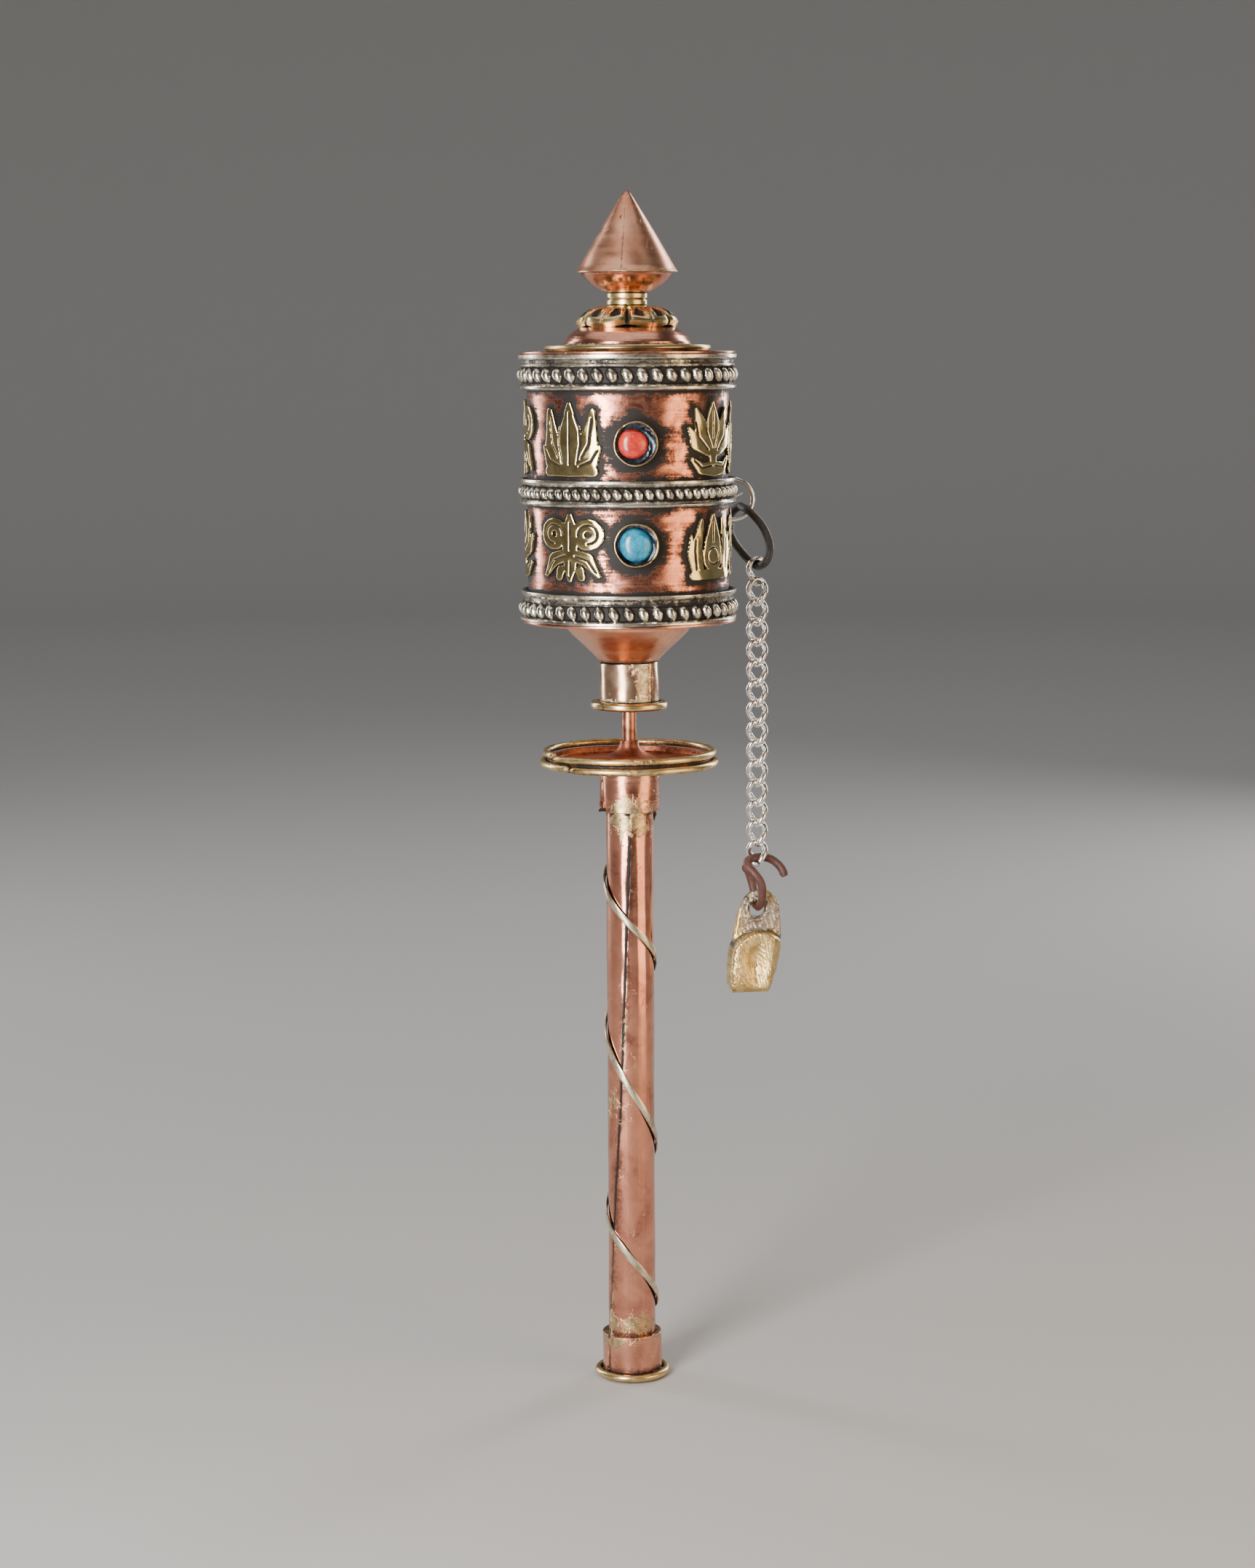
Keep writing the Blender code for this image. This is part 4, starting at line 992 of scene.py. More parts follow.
# -------------------------------------------------- bowl, hub and base plate
# The drum stands on a copper disc. Under it a spun bowl narrows to a short
# rolled sleeve, unevenly soldered on, and a brass washer rides on the spindle.
base_low, base_high, base_r = span("base_plate")
base_profile = outline([(4.0, base_low), (base_r, base_low, 0.25), (base_r, base_high, 0.12), (4.0, base_high)], 0.8)
base = turned("base_plate_cut", base_profile, 200, shape=lambda t, r,
    h: (r - (r > 18) * (0.1 + waves(t, 0 * h, 0.09, 31)), h + (r > 19) * waves(t, 0 * h, 0.05, 32)), marks=lambda t,
    r, h: {"soot": 0.5 * near(r, base_r - 1.2, 0.7) + 0.5 * near(r, 13.2, 0.7)})
settle(base, copper, "drum", "copper", "base_plate")

bowl_low, bowl_high, _ = span("lower_bowl")
bowl_line = [(5.95, 0.0), (6.55, 0.8), (7.5, 1.75), (8.75, 2.95), (10.1, 4.15), (11.45, 5.45), (12.6, 6.85),
    (13.1, 7.9)]
bowl_side = spread(np.array(bowl_line) + (0, bowl_low), 46)
bowl_side = np.concatenate([bowl_side, bowl_side[::-1] - (0.5, -0.1)])
bowl_side[:, 1] = np.clip(bowl_side[:, 1], bowl_low, bowl_high)
bowl = turned("lower_bowl_spun", bowl_side, 150, shape=lambda t, r,
    h: (r + waves(t, h, 0.045, 33, (5, 20)) - 0.06, h), marks=lambda t, r,
    h: {"soot": 0.55 * near(h, bowl_low, 0.45) + 0.45 * near(h, bowl_high, 0.5) + 0.2 * near(angle_gap(t, 0.5), 0,
    0.1), "solder": 0.7 * near(h, bowl_low + 0.7, 0.5) * near(angle_gap(t, 0.35), 0, 0.5)})
settle(bowl, satin_copper, "drum", "copper", "lower_bowl")

hub_low, hub_high, hub_r = span("hub_sleeve")
hub_seam = 0.86


def hub_shape(turn, radius, height):
    """The strip's outer end overlaps its inner end at the seam, and its top edge was snipped a little askew."""
    outside = radius > hub_r - 0.3
    step = 0.16 / (1 + np.exp(-angle_gap(turn, hub_seam) / 0.02)) - 0.16 * (0.5 + angle_gap(turn,
        hub_seam) / (2 * math.pi))
    share = np.clip((height - hub_low) / (hub_high - hub_low), 0, 1)
    return radius + outside * (step + waves(turn, height, 0.05, 35,
        (6, 20)) - 0.06), height - share * (0.14 - 0.12 * np.sin(turn + 0.3) + waves(turn, 0 * height, 0.05, 36))


def hub_marks(turn, radius, height):
    soot = 0.75 * near(angle_gap(turn, hub_seam), 0, 0.035) + 0.55 * near(height, hub_low + 0.1, 0.35)
    solder = 0.75 * near(height, hub_high, 0.7) * near(angle_gap(turn, 0.35), 0, 0.45)
    solder = solder + 0.75 * near(height, hub_low, 0.8) + 0.75 * near(angle_gap(turn, 0.55), 0, 0.35)
    return {"soot": np.where(radius > hub_r - 0.3, soot, 0.9), "solder": solder}


tinned = worn_metal("tinned_copper", (0.90, 0.62, 0.42), (0.68, 0.37, 0.24), (120, 120, 200), (0.13, 0.3), blotch=240,
    solder=(0.74, 0.64, 0.42), relief=0.12)
hub_corners = [(hub_r - 0.6, hub_low), (hub_r, hub_low, 0.1), (hub_r, hub_high, 0.12), (hub_r - 0.6, hub_high)]
settle(turned("hub_sleeve_rolled", outline(hub_corners, 0.3), 130, hub_shape, hub_marks), tinned, "drum", "copper",
    "hub_sleeve")

washer_low, washer_high, washer_r = span("hub_washer")
washer_round = (washer_high - washer_low) / 2
washer_corners = [(2.0, washer_low), (washer_r, washer_low, washer_round), (washer_r, washer_high, washer_round),
    (2.0, washer_high)]
washer = turned("hub_washer_filed", outline(washer_corners, 0.4, arc_steps=9), 130, shape=lambda t, r,
    h: (r - (r > 5) * (0.05 + 0.25 * near(angle_gap(t, -0.75), 0, 0.03) + waves(t, h, 0.05, 37)),
    h + (r > 5) * waves(t, 0 * h, 0.07, 38)), marks=lambda t, r,
    h: {"soot": 0.7 * near(r, hub_r + 0.2, 0.35) + 0.6 * near(angle_gap(t, -0.75), 0, 0.05)})
settle(washer, brass, "drum", "brass", "hub_washer")

# --------------------------------------------------- inside: bushes and scroll
# Brass bushes run on the spindle at both ends of the drum. Between them a roll
# of thin fibrous paper fills the drum round a brass tube.
for bush, body in (("lower_bush", "drum"), ("upper_bush", "lid")):
    bush_low, bush_high, bush_r = span(bush)
    corners = [(1.5, bush_low), (bush_r, bush_low, 0.15), (bush_r, bush_high, 0.15), (1.5, bush_high)]
    piece = turned(f"{bush}_turned", outline(corners, 0.5), 80, marks=lambda t, r,
        h: {"soot": 0.5 * near(r, 1.5, 0.3)})
    settle(piece, brass, body, "brass", bush)
inner_low, inner_high, _ = span("scroll_tube")
inner_corners = [(1.65, inner_low), (2.2, inner_low, 0.1), (2.2, inner_high, 0.1), (1.65, inner_high)]
settle(turned("scroll_tube_drawn", outline(inner_corners, 2.0), 60), brass, "drum", "brass", "scroll_tube")

roll_low, roll_high, _ = span("prayer_scroll")
paper, paper_tree, paper_shader, paper_where = fresh("scroll_paper")
fibres = noise(paper_tree, paper_where, 900, 6, 0.7, 1.5)
paper_tone = ramp(paper_tree, fibres, (0.35, (0.50, 0.40, 0.26)), (0.65, (0.74, 0.65, 0.48)))
surface(paper_tree, paper_shader, paper_tone, 0.85, fibres, 0.4, 0.05)
roll_corners = [(2.28, roll_low), (18.6, roll_low, 0.3), (18.6, roll_high, 0.3), (2.28, roll_high)]
roll = turned("prayer_scroll_wound", outline(roll_corners, 0.35), 120, shape=lambda t, r,
    h: (r - (r > 18) * 0.15 * near(angle_gap(t, 2.4), 0, 0.03),
    h + ((r > 2.5) & (r < 18.3)) * 0.16 * np.sin(2 * math.pi * r / 1.4 + t) * np.sign(roll_low + 20 - h)))
settle(roll, paper, "drum", "paper", "prayer_scroll")

# ------------------------------------------------------------------ the lid
# A copper plate closes the drum, its rim turned down inside. On it lie a
# thinner brass disc and a raised copper dome, which carries the lotus collar.
plate_low, plate_high, _ = span("lid_plate")
rim_top = 208.25
lid_corners = [(3.2, rim_top), (18.75, rim_top), (18.75, plate_low), (19.25, plate_low, 0.15), (19.25, rim_top, 0.1),
    (21.4, rim_top, 0.2), (21.4, plate_high, 0.15), (3.2, plate_high)]
lid = turned("lid_plate_raised", outline(lid_corners, 0.8), 200, shape=lambda t, r,
    h: (r - (r > 20.5) * (0.1 + waves(t, 0 * h, 0.09, 41)), h + (r > 20) * (h > 208) * waves(t, 0 * h, 0.03, 42)),
    marks=lambda t, r, h: {"soot": 0.6 * near(r, 16.8, 0.6) + 0.35 * near(r, 20.8, 0.6)})
settle(lid, copper, "lid", "copper", "lid_plate")

disc_foot, disc_top, disc_edge = span("lid_disc")
disc_corners = [(3.2, disc_foot), (disc_edge - 0.3, disc_foot, 0.3), (disc_edge, (disc_foot + disc_top) / 2, 0.3),
    (disc_edge - 0.25, disc_top, 0.3), (3.2, disc_top)]
brass_disc = turned("lid_disc_cut", outline(disc_corners, 0.7), 200, shape=lambda t, r,
    h: (r - (r > 14) * (0.08 + waves(t, 0 * h, 0.07, 43)), h + (r > 13) * waves(t, 0 * h, 0.05, 44)), marks=lambda t,
    r, h: {"soot": 0.65 * near(r, 12.9, 0.5) + 0.3 * near(h, disc_foot, 0.3)})
settle(brass_disc, brass, "lid", "brass", "lid_disc")

dome_foot, dome_top, _ = span("lid_dome")
dome_line = [(12.6, 0), (12.5, 0.6), (12.2, 1.1), (11.75, 1.75), (11.1, 2.4), (9.6, 3.3), (6.8, 4.2), (3.4, 4.7)]
dome_side = spread(dome_line, 50)
dome_side = np.concatenate([dome_side, dome_side[::-1] - (0.45, 0.4)]) + (0, dome_foot)
dome_side[:, 1] = np.clip(dome_side[:, 1], dome_foot, dome_top)
dome = turned("lid_dome_raised", dome_side, 150, shape=lambda t, r, h: (r + waves(t, h, 0.05, 45, (4, 14)) - 0.05, h),
    marks=lambda t, r, h: {"soot": 0.6 * near(h, dome_foot, 0.4) + 0.5 * near(r, 9.4, 0.5),
    "solder": 0.55 * near(h, dome_foot, 0.3)})
settle(dome, copper, "lid", "copper", "lid_dome")

# Cast brass lotus: six broad petals turned down over the dome, each with a
# crease down its middle and a black-filled nick on either side.
collar_z = 217.0
collar_line = np.array([(3.25, 0.66), (4.2, 0.6), (5.2, 0.42), (6.3, 0.12), (7.4, -0.35), (8.35, -1.0), (9.05, -1.75),
    (9.5, -2.5), (9.8, -3.15)])
collar_side = spread(collar_line, 56)
collar_side = np.concatenate([collar_side, (collar_side - (0.35, 0.62))[::-1]]) + (0, collar_z)


half_petal = 0.5236


def petal_place(turn):
    """Angle from the nearest petal's middle, in radians."""
    return angle_gap(6 * (turn + math.radians(30)), 0) / 6


def petal_share(radius):
    """0 at the collar's neck and 1 near its rim."""
    return np.clip((radius - 3.3) / 6.2, 0, 1)


def petal_relief(turn, radius):
    """Height over the plain collar: a round petal, a deep line beside it, a shallow one down it and two nicks."""
    out = petal_share(radius)
    place = petal_place(turn)
    round_petal = 0.85 * np.sqrt(np.clip(1 - (place / half_petal) ** 2, 0, 1)) * out
    between = -0.75 * near(np.abs(place), half_petal, 0.06) * np.clip(out * 1.6, 0, 1)
    crease = -0.22 * near(place, 0, 0.022) * (out > 0.25)
    nick_wide = 0.02 + 0.085 * np.clip((out - 0.5) / 0.4, 0, 1)
    nick = -0.75 * near(np.abs(place), 0.26, nick_wide) * np.clip((out - 0.52) / 0.12, 0,
        1) * np.clip((0.97 - out) / 0.05, 0, 1)
    return round_petal + between + crease + nick, nick


def collar_shape(turn, radius, height):
    """The relief lifts the outer face, and the rim dips at the middle of each petal."""
    out = petal_share(radius)
    outside = height > np.interp(radius, collar_line[:, 0], collar_line[:, 1] + collar_z) - 0.3
    lift, _ = petal_relief(turn, radius)
    crest = np.cos(6 * (turn + math.radians(30)))
    droop = out**3 * (0.35 * crest - 0.3 + waves(turn, 0 * turn, 0.1, 47))
    wide = out * (0.12 * crest - 0.14)
    return radius + wide + outside * lift * 0.45 * out, np.minimum(height - droop * 0.9 + outside * lift * 0.62,
        217.7)


def collar_marks(turn, radius, height):
    out = petal_share(radius)
    _, nick = petal_relief(turn, radius)
    place = petal_place(turn)
    lines = 0.95 * near(np.abs(place), half_petal, 0.05) * np.clip(out * 1.6, 0, 1) + 0.6 * near(place, 0,
        0.02) * (out > 0.25)
    return {"soot": lines + 1.2 * np.clip(-nick / 0.4, 0, 1) + 0.5 * near(radius, 3.6, 0.3)}


collar = turned("lotus_collar_cast", collar_side, 360, collar_shape, collar_marks)
settle(collar, brass, "lid", "brass", "lotus_collar")

# ------------------------------------------------------------------ finial
# A turned brass neck, a spun copper bowl and a cone rolled from sheet with a
# seam down its front. Brass solder closes the joint between cone and bowl.
neck_corners = [(1.6, 217.75), (4.0, 217.75, 0.2), (3.95, 218.7, 0.2), (3.72, 218.95, 0.1), (3.95, 219.2, 0.2),
    (3.95, 220.1, 0.2), (1.6, 220.1)]
neck = turned("finial_neck_turned", outline(neck_corners, 0.25), 110, marks=lambda t, r,
    h: {"soot": 0.7 * near(h, 218.95, 0.16) + 0.5 * near(h, 217.8, 0.2) + 0.5 * near(h, 220.1, 0.2)})
settle(neck, brass, "finial", "brass", "finial_neck")

cup_line = [(4.1, 220.2), (4.85, 220.45), (5.7, 220.9), (6.75, 221.5), (7.6, 222.2), (8.35, 222.95), (8.9, 223.6),
    (9.15, 224.1)]
cup_side = spread(cup_line, 44)
cup_side = np.concatenate([[(1.7, 220.2)], cup_side, (cup_side - (0.45, -0.12))[::-1], [(1.7, 220.7)]])
cup_side[:, 1] = np.minimum(cup_side[:, 1], 224.2)
cup = turned("finial_bowl_spun", cup_side, 170, shape=lambda t, r,
    h: (r + 0.025 * np.sin(46 * t) * near(r, 6.2, 1.6) + waves(t, h, 0.03, 51, (4, 12)) - 0.03, h), marks=lambda t, r,
    h: {"soot": 0.55 * near(r, 4.2, 0.4) + 0.5 * near(h, 224.1, 0.3)})
settle(cup, copper, "finial", "copper", "finial_bowl")

cone_low, cone_high, cone_r = span("finial_cone")
cone_line = [(cone_r, 0), (9.35, 1.15), (8.3, 3.0), (6.5, 6.1), (4.6, 9.3), (2.7, 12.35), (1.3, 14.55), (0.75, 15.35),
    (0.4, 15.7), (0, 15.85)]
cone_side = np.concatenate([[(0, 0)], spread(cone_line, 90)]) + (0, cone_low)


def cone_shape(turn, radius, height):
    """The sheet's outer edge makes a low step at the seam, and the cone is faintly out of round."""
    out = np.clip(radius / cone_r, 0, 1)
    gap = angle_gap(turn, -0.12)
    step = out * (0.09 / (1 + np.exp(-gap / 0.015)) - 0.09 * (0.5 + gap / (2 * math.pi)))
    dent = -0.12 * near(gap, -0.25, 0.2) * near(height, cone_low + 2.6, 0.9) + 0.02 * np.sin(9 * turn) * out
    rim = (radius > cone_r - 0.05) * (0.1 * np.cos(turn * 2 + 1) - 0.1)
    return radius + step + dent + out * waves(turn, height, 0.04, 52, (6, 20)) - 0.06 * out + rim, np.minimum(height,
        cone_high)


def cone_marks(turn, radius, height):
    gap = angle_gap(turn, -0.12)
    pits = near(gap, -0.2, 0.05) * near(height, cone_low + 10.5, 0.35) + near(gap, 0.6, 0.05) * near(height,
        cone_low + 9.6, 0.4)
    return {"soot": 0.5 * near(gap, 0, 0.015) + 0.7 * pits + 0.3 * near(height, cone_high, 1.0),
        "solder": 0.95 * near(height, cone_low + 0.25, 0.28) * (0.55 + 0.45 * np.sin(turn + 0.9))}


cone = turned("finial_cone_rolled", cone_side, 220, cone_shape, cone_marks, closed=False)
settle(cone, satin_copper, "finial", "copper", "finial_cone")

# ----------------------------------------------------------- eye for the chain
# A ring of pale wire is soldered on edge behind the middle band. The cut end
# of the staple that holds it stands out between the beads.
eye_low, eye_high = (np.array(corner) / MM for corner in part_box("chain_eye"))
eye_middle = (eye_low + eye_high) / 2
eye_wire = (eye_high[1] - eye_low[1]) / 2
eye_r = (eye_high[2] - eye_low[2]) / 2 - eye_wire
eye_turn = np.linspace(0, 2 * math.pi, 150, endpoint=False)
eye_wander = eye_r + waves(eye_turn, 0 * eye_turn, 0.035, 91) - 0.03
eye_path = eye_middle + np.stack([eye_wander * np.cos(eye_turn), 0 * eye_turn, eye_wander * np.sin(eye_turn)], axis=1)


def inside_marks(rows):
    """The inner side of a ring keeps more dirt than the outer."""
    out = np.linalg.norm(rows - eye_middle, axis=2)
    return {"soot": 0.6 * np.clip((eye_r + 0.05 - out) / eye_wire, 0, 1)}


eye = swept("chain_eye_wire", eye_path, round_section(eye_wire, 16), (0, 1, 0), marks=inside_marks)
settle(eye, silver, "drum", "silver", "chain_eye")
staple_path = spread([(19.6, 8.2, 179.4), (20.9, 7.2, 179.6), (21.8, 6.9, 179.9), (22.9, 6.7, 180.5)], 20)
staple = swept("eye_staple", staple_path, round_section(0.22, 12), (0, 0, 1), closed=False)
settle(staple, silver, "drum", "silver")

# ---------------------------------------------------------- leather loop
# A round black leather thong passes through the eye and the first link, and
# its two ends are laid against the strand behind and whipped with thread.


points_per_span = 8


def smooth_route(points, start):
    """Points on a Catmull-Rom curve through a route that is measured from a starting place."""
    points = np.asarray(points, float) + np.asarray(start, float)
    route = np.concatenate([[2 * points[0] - points[1]], points, [2 * points[-1] - points[-2]]])
    t = (np.arange(points_per_span) / points_per_span)[:, None]
    made = []
    for a, b, c, d in zip(route, route[1:], route[2:], route[3:]):
        made.append(0.5 * (2 * b + (c - a) * t + (2 * a - 5 * b + 4 * c - d) * t**2 + (3 * b - a - 3 * c + d) * t**3))
    return np.concatenate(made + [points[-1:]])


def carried(path, start):
    """An outward direction handed on from point to point with the least turning, so that the section never twists."""
    along = np.gradient(path, axis=0)
    along /= np.linalg.norm(along, axis=1, keepdims=True)
    out = [np.asarray(start, float)]
    for step in along:
        kept = out[-1] - step * (out[-1] @ step)
        out.append(kept / np.linalg.norm(kept))
    return np.array(out[1:])


def thong(name, path, radius, seed):
    """Round leather cord, pressed and swollen by a few hundredths along the way, with blunt cut ends."""
    share = np.linspace(0, 1, len(path))[:, None]
    turn = np.linspace(0, 2 * math.pi, 20, endpoint=False)[None, :]
    size = radius * (0.97 + 0.03 * np.cos(2 * turn + 9 * share + seed)) + waves(turn, share * 40, 0.02, seed)
    ends = np.clip(np.minimum(share, 1 - share) * 90, 0.8, 1)
    size = np.minimum(size, radius) * ends
    section = np.stack([size * np.cos(turn), size * np.sin(turn)], axis=2)
    outwards = carried(path, (0, 0, 1))
    # Painted sheen: a lighter band that spirals along the cord, stored as the point mark by which the leather
    # lightens.
    lit = np.clip(np.sin(turn + 6 * share + seed), 0, 1) ** 2

    def marks(rows):
        return {"soot": np.concatenate([lit[:1], lit, lit[-1:]])}

    return swept(name, path, section, outwards, closed=False, marks=marks)


def leather(name, deep, worn, sheen_colour):
    """Waxed leather with creased grain and a painted sheen: fine noise lets a lighter tone through where the point
    mark from the cord is high.
    """
    material, tree, shader, where = fresh(name)
    cloud = noise(tree, where, 900, 6, 0.65, 0.5)
    fine = noise(tree, where, 5200, 4, 0.7)
    creases = cells(tree, where, 2600.0)
    tone = blend(tree, ramp(tree, cloud, (0.36, 0.0), (0.66, 1.0)), deep, worn)
    # Painted sheen: the lighter tone goes where the cord's band and fine noise meet.
    painted_sheen = maths(tree, "MULTIPLY", mark(tree, "soot"), ramp(tree, fine, (0.48, 0.0), (0.62, 1.0)))
    height = total(tree, ramp(tree, creases, (0.0, 0.0), (0.12, 1.0)), maths(tree, "MULTIPLY", fine, 0.9))
    rough = ramp(tree, cloud, (0.3, 0.38), (0.7, 0.62))
    surface(tree, shader, blend(tree, painted_sheen, tone, sheen_colour), rough, height, 0.55, 0.06)
    shader.inputs["Coat Weight"].default_value = 0.15
    shader.inputs["Coat Roughness"].default_value = 0.35
    return material


LOOP_ROUTE = [(-0.5, 3.7, -8.8), (-1.0, 3.8, -6.6), (-0.9, 3.2, -4.3), (0.2, 2.2, -2.5), (1.5, 1.2, -1.5),
    (2.2, 0.0, -1.7), (2.95, -1.35, -2.1), (4.3, -2.2, -3.3), (6.1, -2.7, -5.6), (7.2, -3.6, -8.4),
    (7.3, -4.6, -10.7), (6.3, -4.4, -12.7), (4.85, -2.0, -13.42), (3.6, 0.3, -12.6), (1.9, 1.2, -10.8),
    (0.3, 1.4, -8.6), (-0.7, 1.6, -6.4), (-0.8, 1.3, -4.6)]
loop_r = 0.85
loop_path = smooth_route(LOOP_ROUTE, eye_middle)
black_leather = leather("black_leather", (0.012, 0.011, 0.012), (0.028, 0.025, 0.025), (0.16, 0.11, 0.085))
loop = thong("cord_loop_thong", loop_path, loop_r, 3)
settle(loop, black_leather, "cord_loop", "black_leather", "cord_loop")

whip_turns = 6
whip_at = np.linspace(0, 2 * math.pi * whip_turns, 30 * whip_turns)
whip_lift = whip_at / (2 * math.pi) * 0.42 - 1.2
whip_y = np.cos(whip_at)
whip_x = np.sin(whip_at)
whip_path = eye_middle + np.stack([-0.86 + 0.1 * whip_lift + 1.08 * np.sign(whip_x) * np.abs(whip_x) ** 0.8,
    2.7 + 2.2 * np.sign(whip_y) * np.abs(whip_y) ** 0.9, -6.4 + whip_lift], axis=1)
whipping = swept("cord_whipping", whip_path, round_section(0.2, 10), (0, 0, 1), closed=False)
settle(whipping, leather("waxed_thread", (0.05, 0.04, 0.03), (0.10, 0.07, 0.045), (0.2, 0.15, 0.1)), "cord_loop",
    "black_leather")

# ------------------------------------------------------------------ chain
# Fifteen curb links of bright white-metal wire, each twisted an eighth of a
# turn so that they lie flat together. The first is opened into a hook.
chain_x, chain_y = 26.1, 12.0
link_wire = 0.55
link_low, link_high, _ = span("chain_link_02")
link_half_high = (link_high - link_low) / 2 - link_wire
link_half_wide = 1.72
link_lean, link_twist = -20.3, 45.0
for n in range(1, 16):
    node = f"chain_link_{n:02d}"
    middle_z = sum(span(node)[:2]) / 2
    chance = np.random.default_rng(200 + n)
    turn = np.linspace(0, 2 * math.pi, 84, endpoint=False)
    if n == 1:
        turn = np.linspace(0.8, -3.7, 70)  # from the upper right, over the top and down the left
    along = np.cos(turn)
    sideways = np.sin(turn) * (1 + 0.12 * np.cos(turn) ** 2) * link_half_wide
    plane = np.radians(link_lean + link_twist * np.sin(0.5 * math.pi * along))
    path = np.stack([chain_x + sideways * np.cos(plane), chain_y + sideways * np.sin(plane),
        middle_z + along * link_half_high], axis=1)
    facing_out = np.stack([-np.sin(plane), np.cos(plane), 0 * plane], axis=1)
    swell = 1 + 0.03 * np.cos(2 * turn + n) + 0.02 * np.sin(5 * turn + 2 * n)
    if n != 1:
        swell = swell - 0.07 * near(angle_gap(turn, chance.uniform(1.2, 1.9)), 0, 0.05)  # the closed joint
    section = round_section(link_wire * 1.13, 16, 0.06)[None] * np.minimum(swell, 1.0)[:, None, None]
    middle = np.array([chain_x, chain_y, middle_z])

    def link_marks(rows):
        """Black stays at both ends inside, where the next link sits."""
        inner = np.linalg.norm((rows - middle) / (1, 1, 1.6), axis=2)
        worn = 0.3 * np.clip((inner.mean(1, keepdims=True) - inner) / 0.35, 0, 1)
        return {"soot": worn * np.clip(np.abs(rows[:, :, 2] - middle_z) / 1.6, 0, 1)}

    link = swept(f"{node}_wire", path, section, facing_out, closed=n != 1, marks=link_marks)
    settle(link, silver, node, "silver", node)

# ------------------------------------------------------------ tie and weight
# A red-brown leather tie runs through the last link and the weight, with its
# cut tail standing out to the right.
TIE_ROUTE = [(5.8, 0.2, -3.9), (5.0, 0.9, -2.2), (3.4, 1.3, -0.8), (1.7, 0.8, -0.1), (0.0, 0.0, 0.0),
    (-1.6, -1.0, -0.3), (-1.9, -2.4, -1.4), (-0.5, -3.3, -2.9), (0.9, -3.5, -5.2), (0.9, -2.9, -8.3),
    (0.35, -1.7, -9.85), (0.05, 0.0, -10.03), (-0.25, 1.7, -9.85), (-0.3, 2.9, -8.3), (-0.9, 3.4, -5.6),
    (-1.6, 3.0, -3.4), (-2.4, 2.0, -2.2)]
tie_r = 0.9
tie_path = smooth_route(TIE_ROUTE, (chain_x, chain_y, 105.5))
red_leather = leather("red_brown_leather", (0.09, 0.017, 0.009), (0.036, 0.014, 0.010), (0.19, 0.07, 0.045))
tie = thong("weight_tie_thong", tie_path, tie_r, 5)
settle(tie, red_leather, "weight_tie", "brown_leather", "weight_tie")

# The weight is a rough brass casting: a thick block below with a thumb hollow
# in its face, and above an arched step a thin tongue, drilled for the tie.
weight_foot = span("weight")[0]
weight_turn = math.radians(8)
weight_sides = np.array([(0.0, -5.4, 1.9), (0.5, -5.75, 2.4), (4.5, -5.85, 3.95), (8.6, -5.45, 4.85),
    (11.6, -4.95, 5.0), (13.2, -4.65, 4.95), (15.5, -4.25, 4.9), (18.2, -3.35, 4.45), (19.7, -2.45, 3.75),
    (20.7, -1.3, 2.8), (21.15, 0.3, 1.4)])
weight_tall = 21.15
side_up = np.linspace(0, weight_tall, 70)
left_line = np.stack([np.interp(side_up, weight_sides[:, 0], weight_sides[:, 1]), side_up], axis=1)
right_line = np.stack([np.interp(side_up, weight_sides[:, 0], weight_sides[:, 2]), side_up], axis=1)
weight_line = np.concatenate([right_line, left_line[::-1]])
weight_line = weight_line + 0.05 * np.sin(weight_line[:, 1:] * 2.3 + weight_line[:, :1])
hole_up, hole_r = 17.1, 1.6


def weight_depth(across, up):
    """Distance in from the casting's outline or from its hole, whichever is nearer, negative outside."""
    a, b = weight_line, np.roll(weight_line, -1, 0)
    edge = b - a
    offset = np.stack([across, up], axis=1)[:, None, :] - a[None]
    t = np.clip((offset * edge).sum(2) / np.maximum((edge**2).sum(1), 1e-9), 0, 1)
    gap = np.linalg.norm(offset - t[:, :, None] * edge, axis=2).min(1)
    left, right = (np.interp(up, line[:, 1], line[:, 0]) for line in (left_line, right_line))
    within = (across > left) & (across < right) & (up > 0) & (up < weight_tall)
    return np.minimum(np.where(within, gap, -gap), np.hypot(across, up - hole_up) - hole_r)


def step_up(across):
    """Height of the arched step: it falls away from its top as the square of the distance across."""
    return 12.9 - 0.11 * (across - 0.2) ** 2


def face_out(across, up, front):
    """How far the face stands from the middle plane: block, arched step, thin tongue, corner cut and thumb hollow."""
    block = 1 / (1 + np.exp((up - step_up(across)) / 0.22))
    out = 1.12 + 2.62 * block
    out = out - 0.16 * np.clip(up - 17.5, 0, 4) * (1 - block)
    out = out - block * np.clip(across - 1.7 - 0.12 * up, 0, 9) * 1.0
    if front:
        out = out - 1.7 * block * near(across, -0.7, 1.7) * near(up, 6.4, 4.0)
        out = out + 0.22 * near(np.hypot(across + 0.1, up - hole_up), 2.15, 0.4) * (across < 1)
    else:
        out = out - 0.35 * block * near(across, -1.8, 2.4) * near(up, 6.5, 4.0)
    rough = waves(across * 2.4, up, 0.06, 95, (1.5, 5)) + waves(up * 3.1, across, 0.05, 96, (0.9, 3))
    return out - 0.5 * block * near(up, 0.0, 1.0) + rough


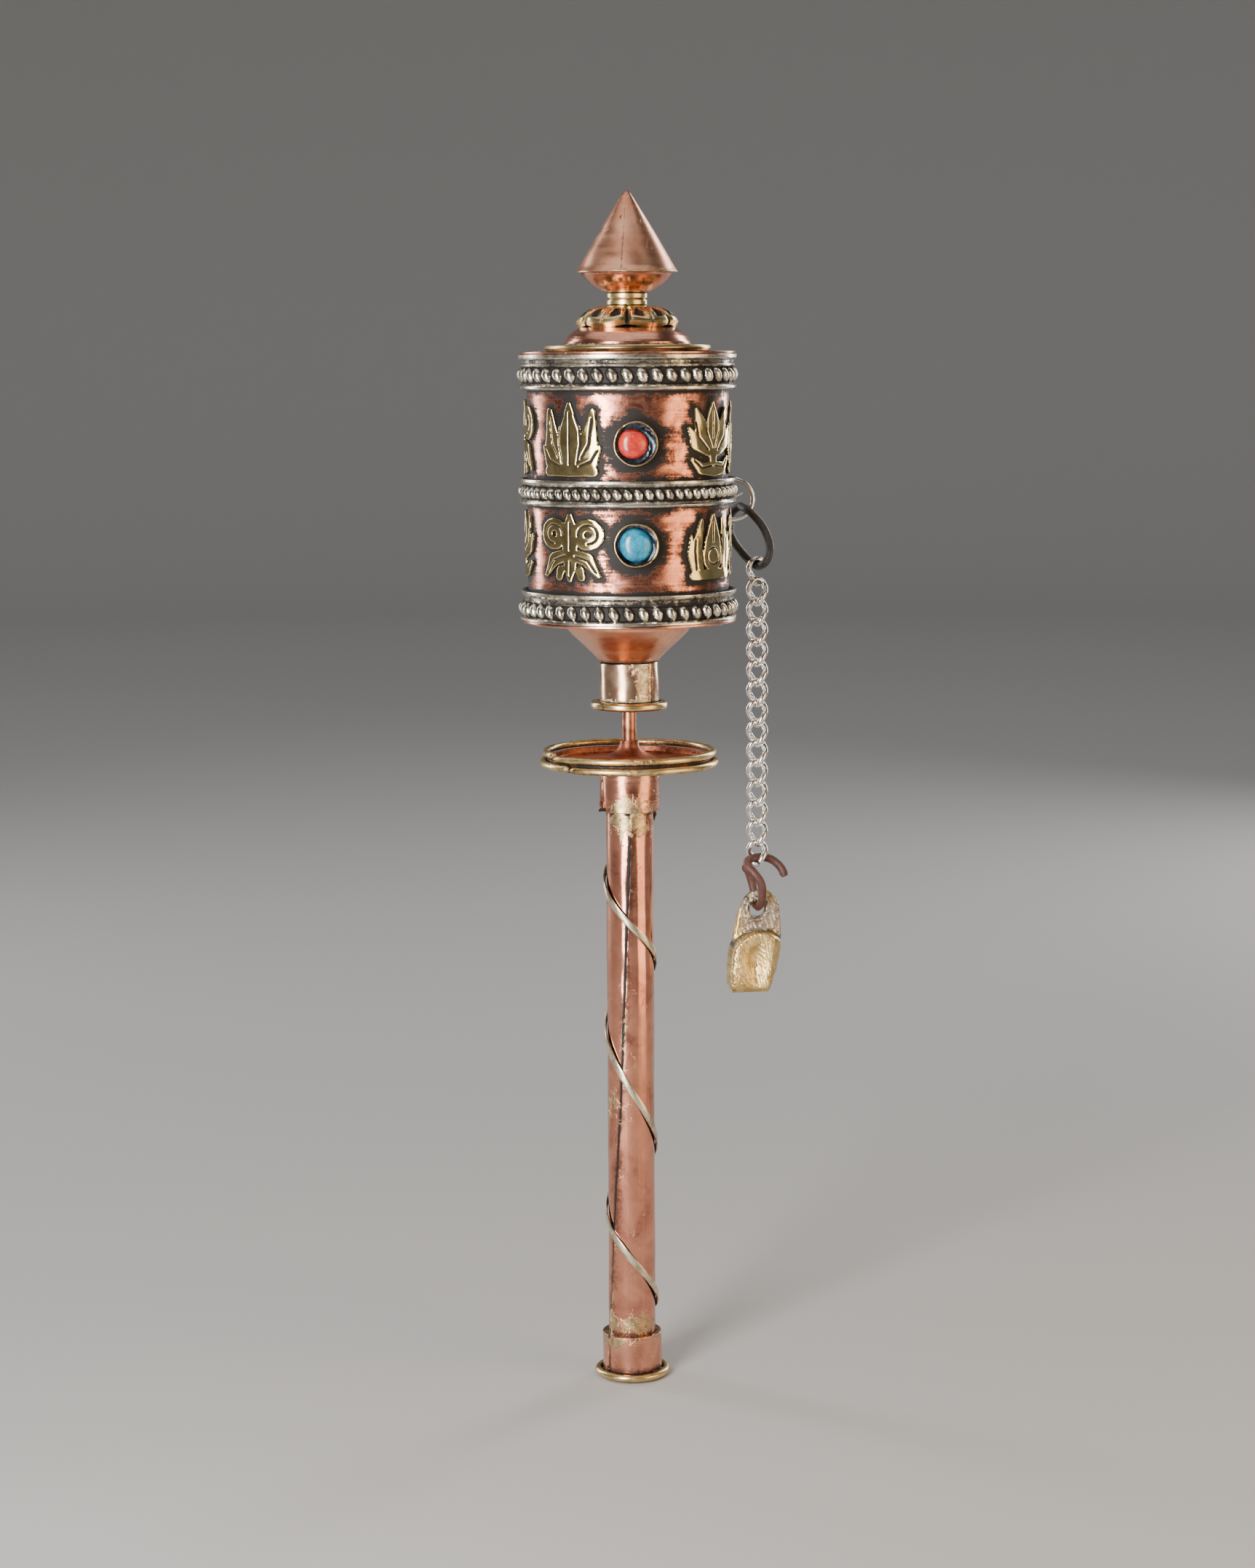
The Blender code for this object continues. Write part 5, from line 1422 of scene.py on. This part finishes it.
across, up, depth, quads, rim = sawn(np.arange(-6.2, 5.61, 0.17), np.arange(-0.2, 21.5, 0.17), weight_depth)
up = np.clip(up, 0, weight_tall)
faces_out = []
for front in (True, False):
    out = face_out(across, up, front)
    bend = np.clip(out * 0.45, 0.25, 1.0)
    rim_share = np.clip(depth / bend, 0, 1)
    faces_out.append(out - bend * (1 - np.sqrt(1 - (1 - rim_share) ** 2)))
count = len(across)
wall_rows = 7
rim_points = np.unique(rim)
rim_place = np.full(count, -1)
rim_place[rim_points] = np.arange(len(rim_points))
share = np.arange(1, wall_rows)[:, None] / wall_rows
wall_out = -faces_out[0][rim_points] * (1 - share) + faces_out[1][rim_points] * share
all_across = np.concatenate([across, across, np.tile(across[rim_points], wall_rows - 1)])
all_up = np.concatenate([up, up, np.tile(up[rim_points], wall_rows - 1)])
all_out = np.concatenate([-faces_out[0], faces_out[1], wall_out.ravel()])
faces = quads.tolist() + (quads[:, ::-1] + count).tolist()


def wall_index(k, which):
    """Number of a rim point in the wall's row k; the first and last rows are the two faces' own rims."""
    if k == 0:
        return which
    if k == wall_rows:
        return which + count
    return 2 * count + (k - 1) * len(rim_points) + rim_place[which]


for k in range(wall_rows):
    faces += np.concatenate([wall_index(k, rim[:, ::-1]), wall_index(k + 1, rim)], axis=1).tolist()
weight_points = np.stack([chain_x + all_across * math.cos(weight_turn) - all_out * math.sin(weight_turn),
    chain_y + all_across * math.sin(weight_turn) + all_out * math.cos(weight_turn), weight_foot + all_up], axis=1)
step_line = step_up(all_across)
tongue = 1 / (1 + np.exp(-(all_up - step_line - 0.3) / 0.4))
hole_gap = np.hypot(all_across, all_up - hole_up) - hole_r
weight_soot = 0.6 * near(all_up, step_line + 0.35, 0.55) + 0.9 * near(hole_gap, -0.02, 0.22) + 0.25 * near(all_across,
    -5.3, 0.5)
weight_marks = {"soot": weight_soot, "solder": 0.85 * tongue * np.clip((all_across + 4.4) / 1.2, 0, 1)}
cast_brass = worn_metal("cast_brass", (0.82, 0.61, 0.27), (0.58, 0.40, 0.16), (260, 260, 260), (0.3, 0.5),
    soot=(0.05, 0.035, 0.025), blotch=420, solder=(0.46, 0.38, 0.31), relief=0.3)
weight = write_mesh("weight_cast", weight_points, faces, weight_marks)
settle(weight, cast_brass, "weight", "cast_brass", "weight")

# ------------------------------------------------------- dowel and collar
# What is left of the frame is out of sight: the turned beech dowel inside the
# handle, and the brass collar on which the drum stands.
wood, wood_tree, wood_shader, wood_where = fresh("beech_dowel")
grain_lines = noise(wood_tree, stretched(wood_tree, wood_where, (900, 900, 40)), 1.0, 6, 0.6, 0.4)
grain_tone = ramp(wood_tree, grain_lines, (0.35, (0.36, 0.20, 0.10)), (0.65, (0.58, 0.38, 0.21)))
surface(wood_tree, wood_shader, grain_tone, 0.6, grain_lines, 0.4, 0.05)
for node, finish in (("handle_core", wood), ("thrust_collar", brass)):
    for kept_slot in frame["nodes"][node].material_slots:
        kept_slot.material = finish
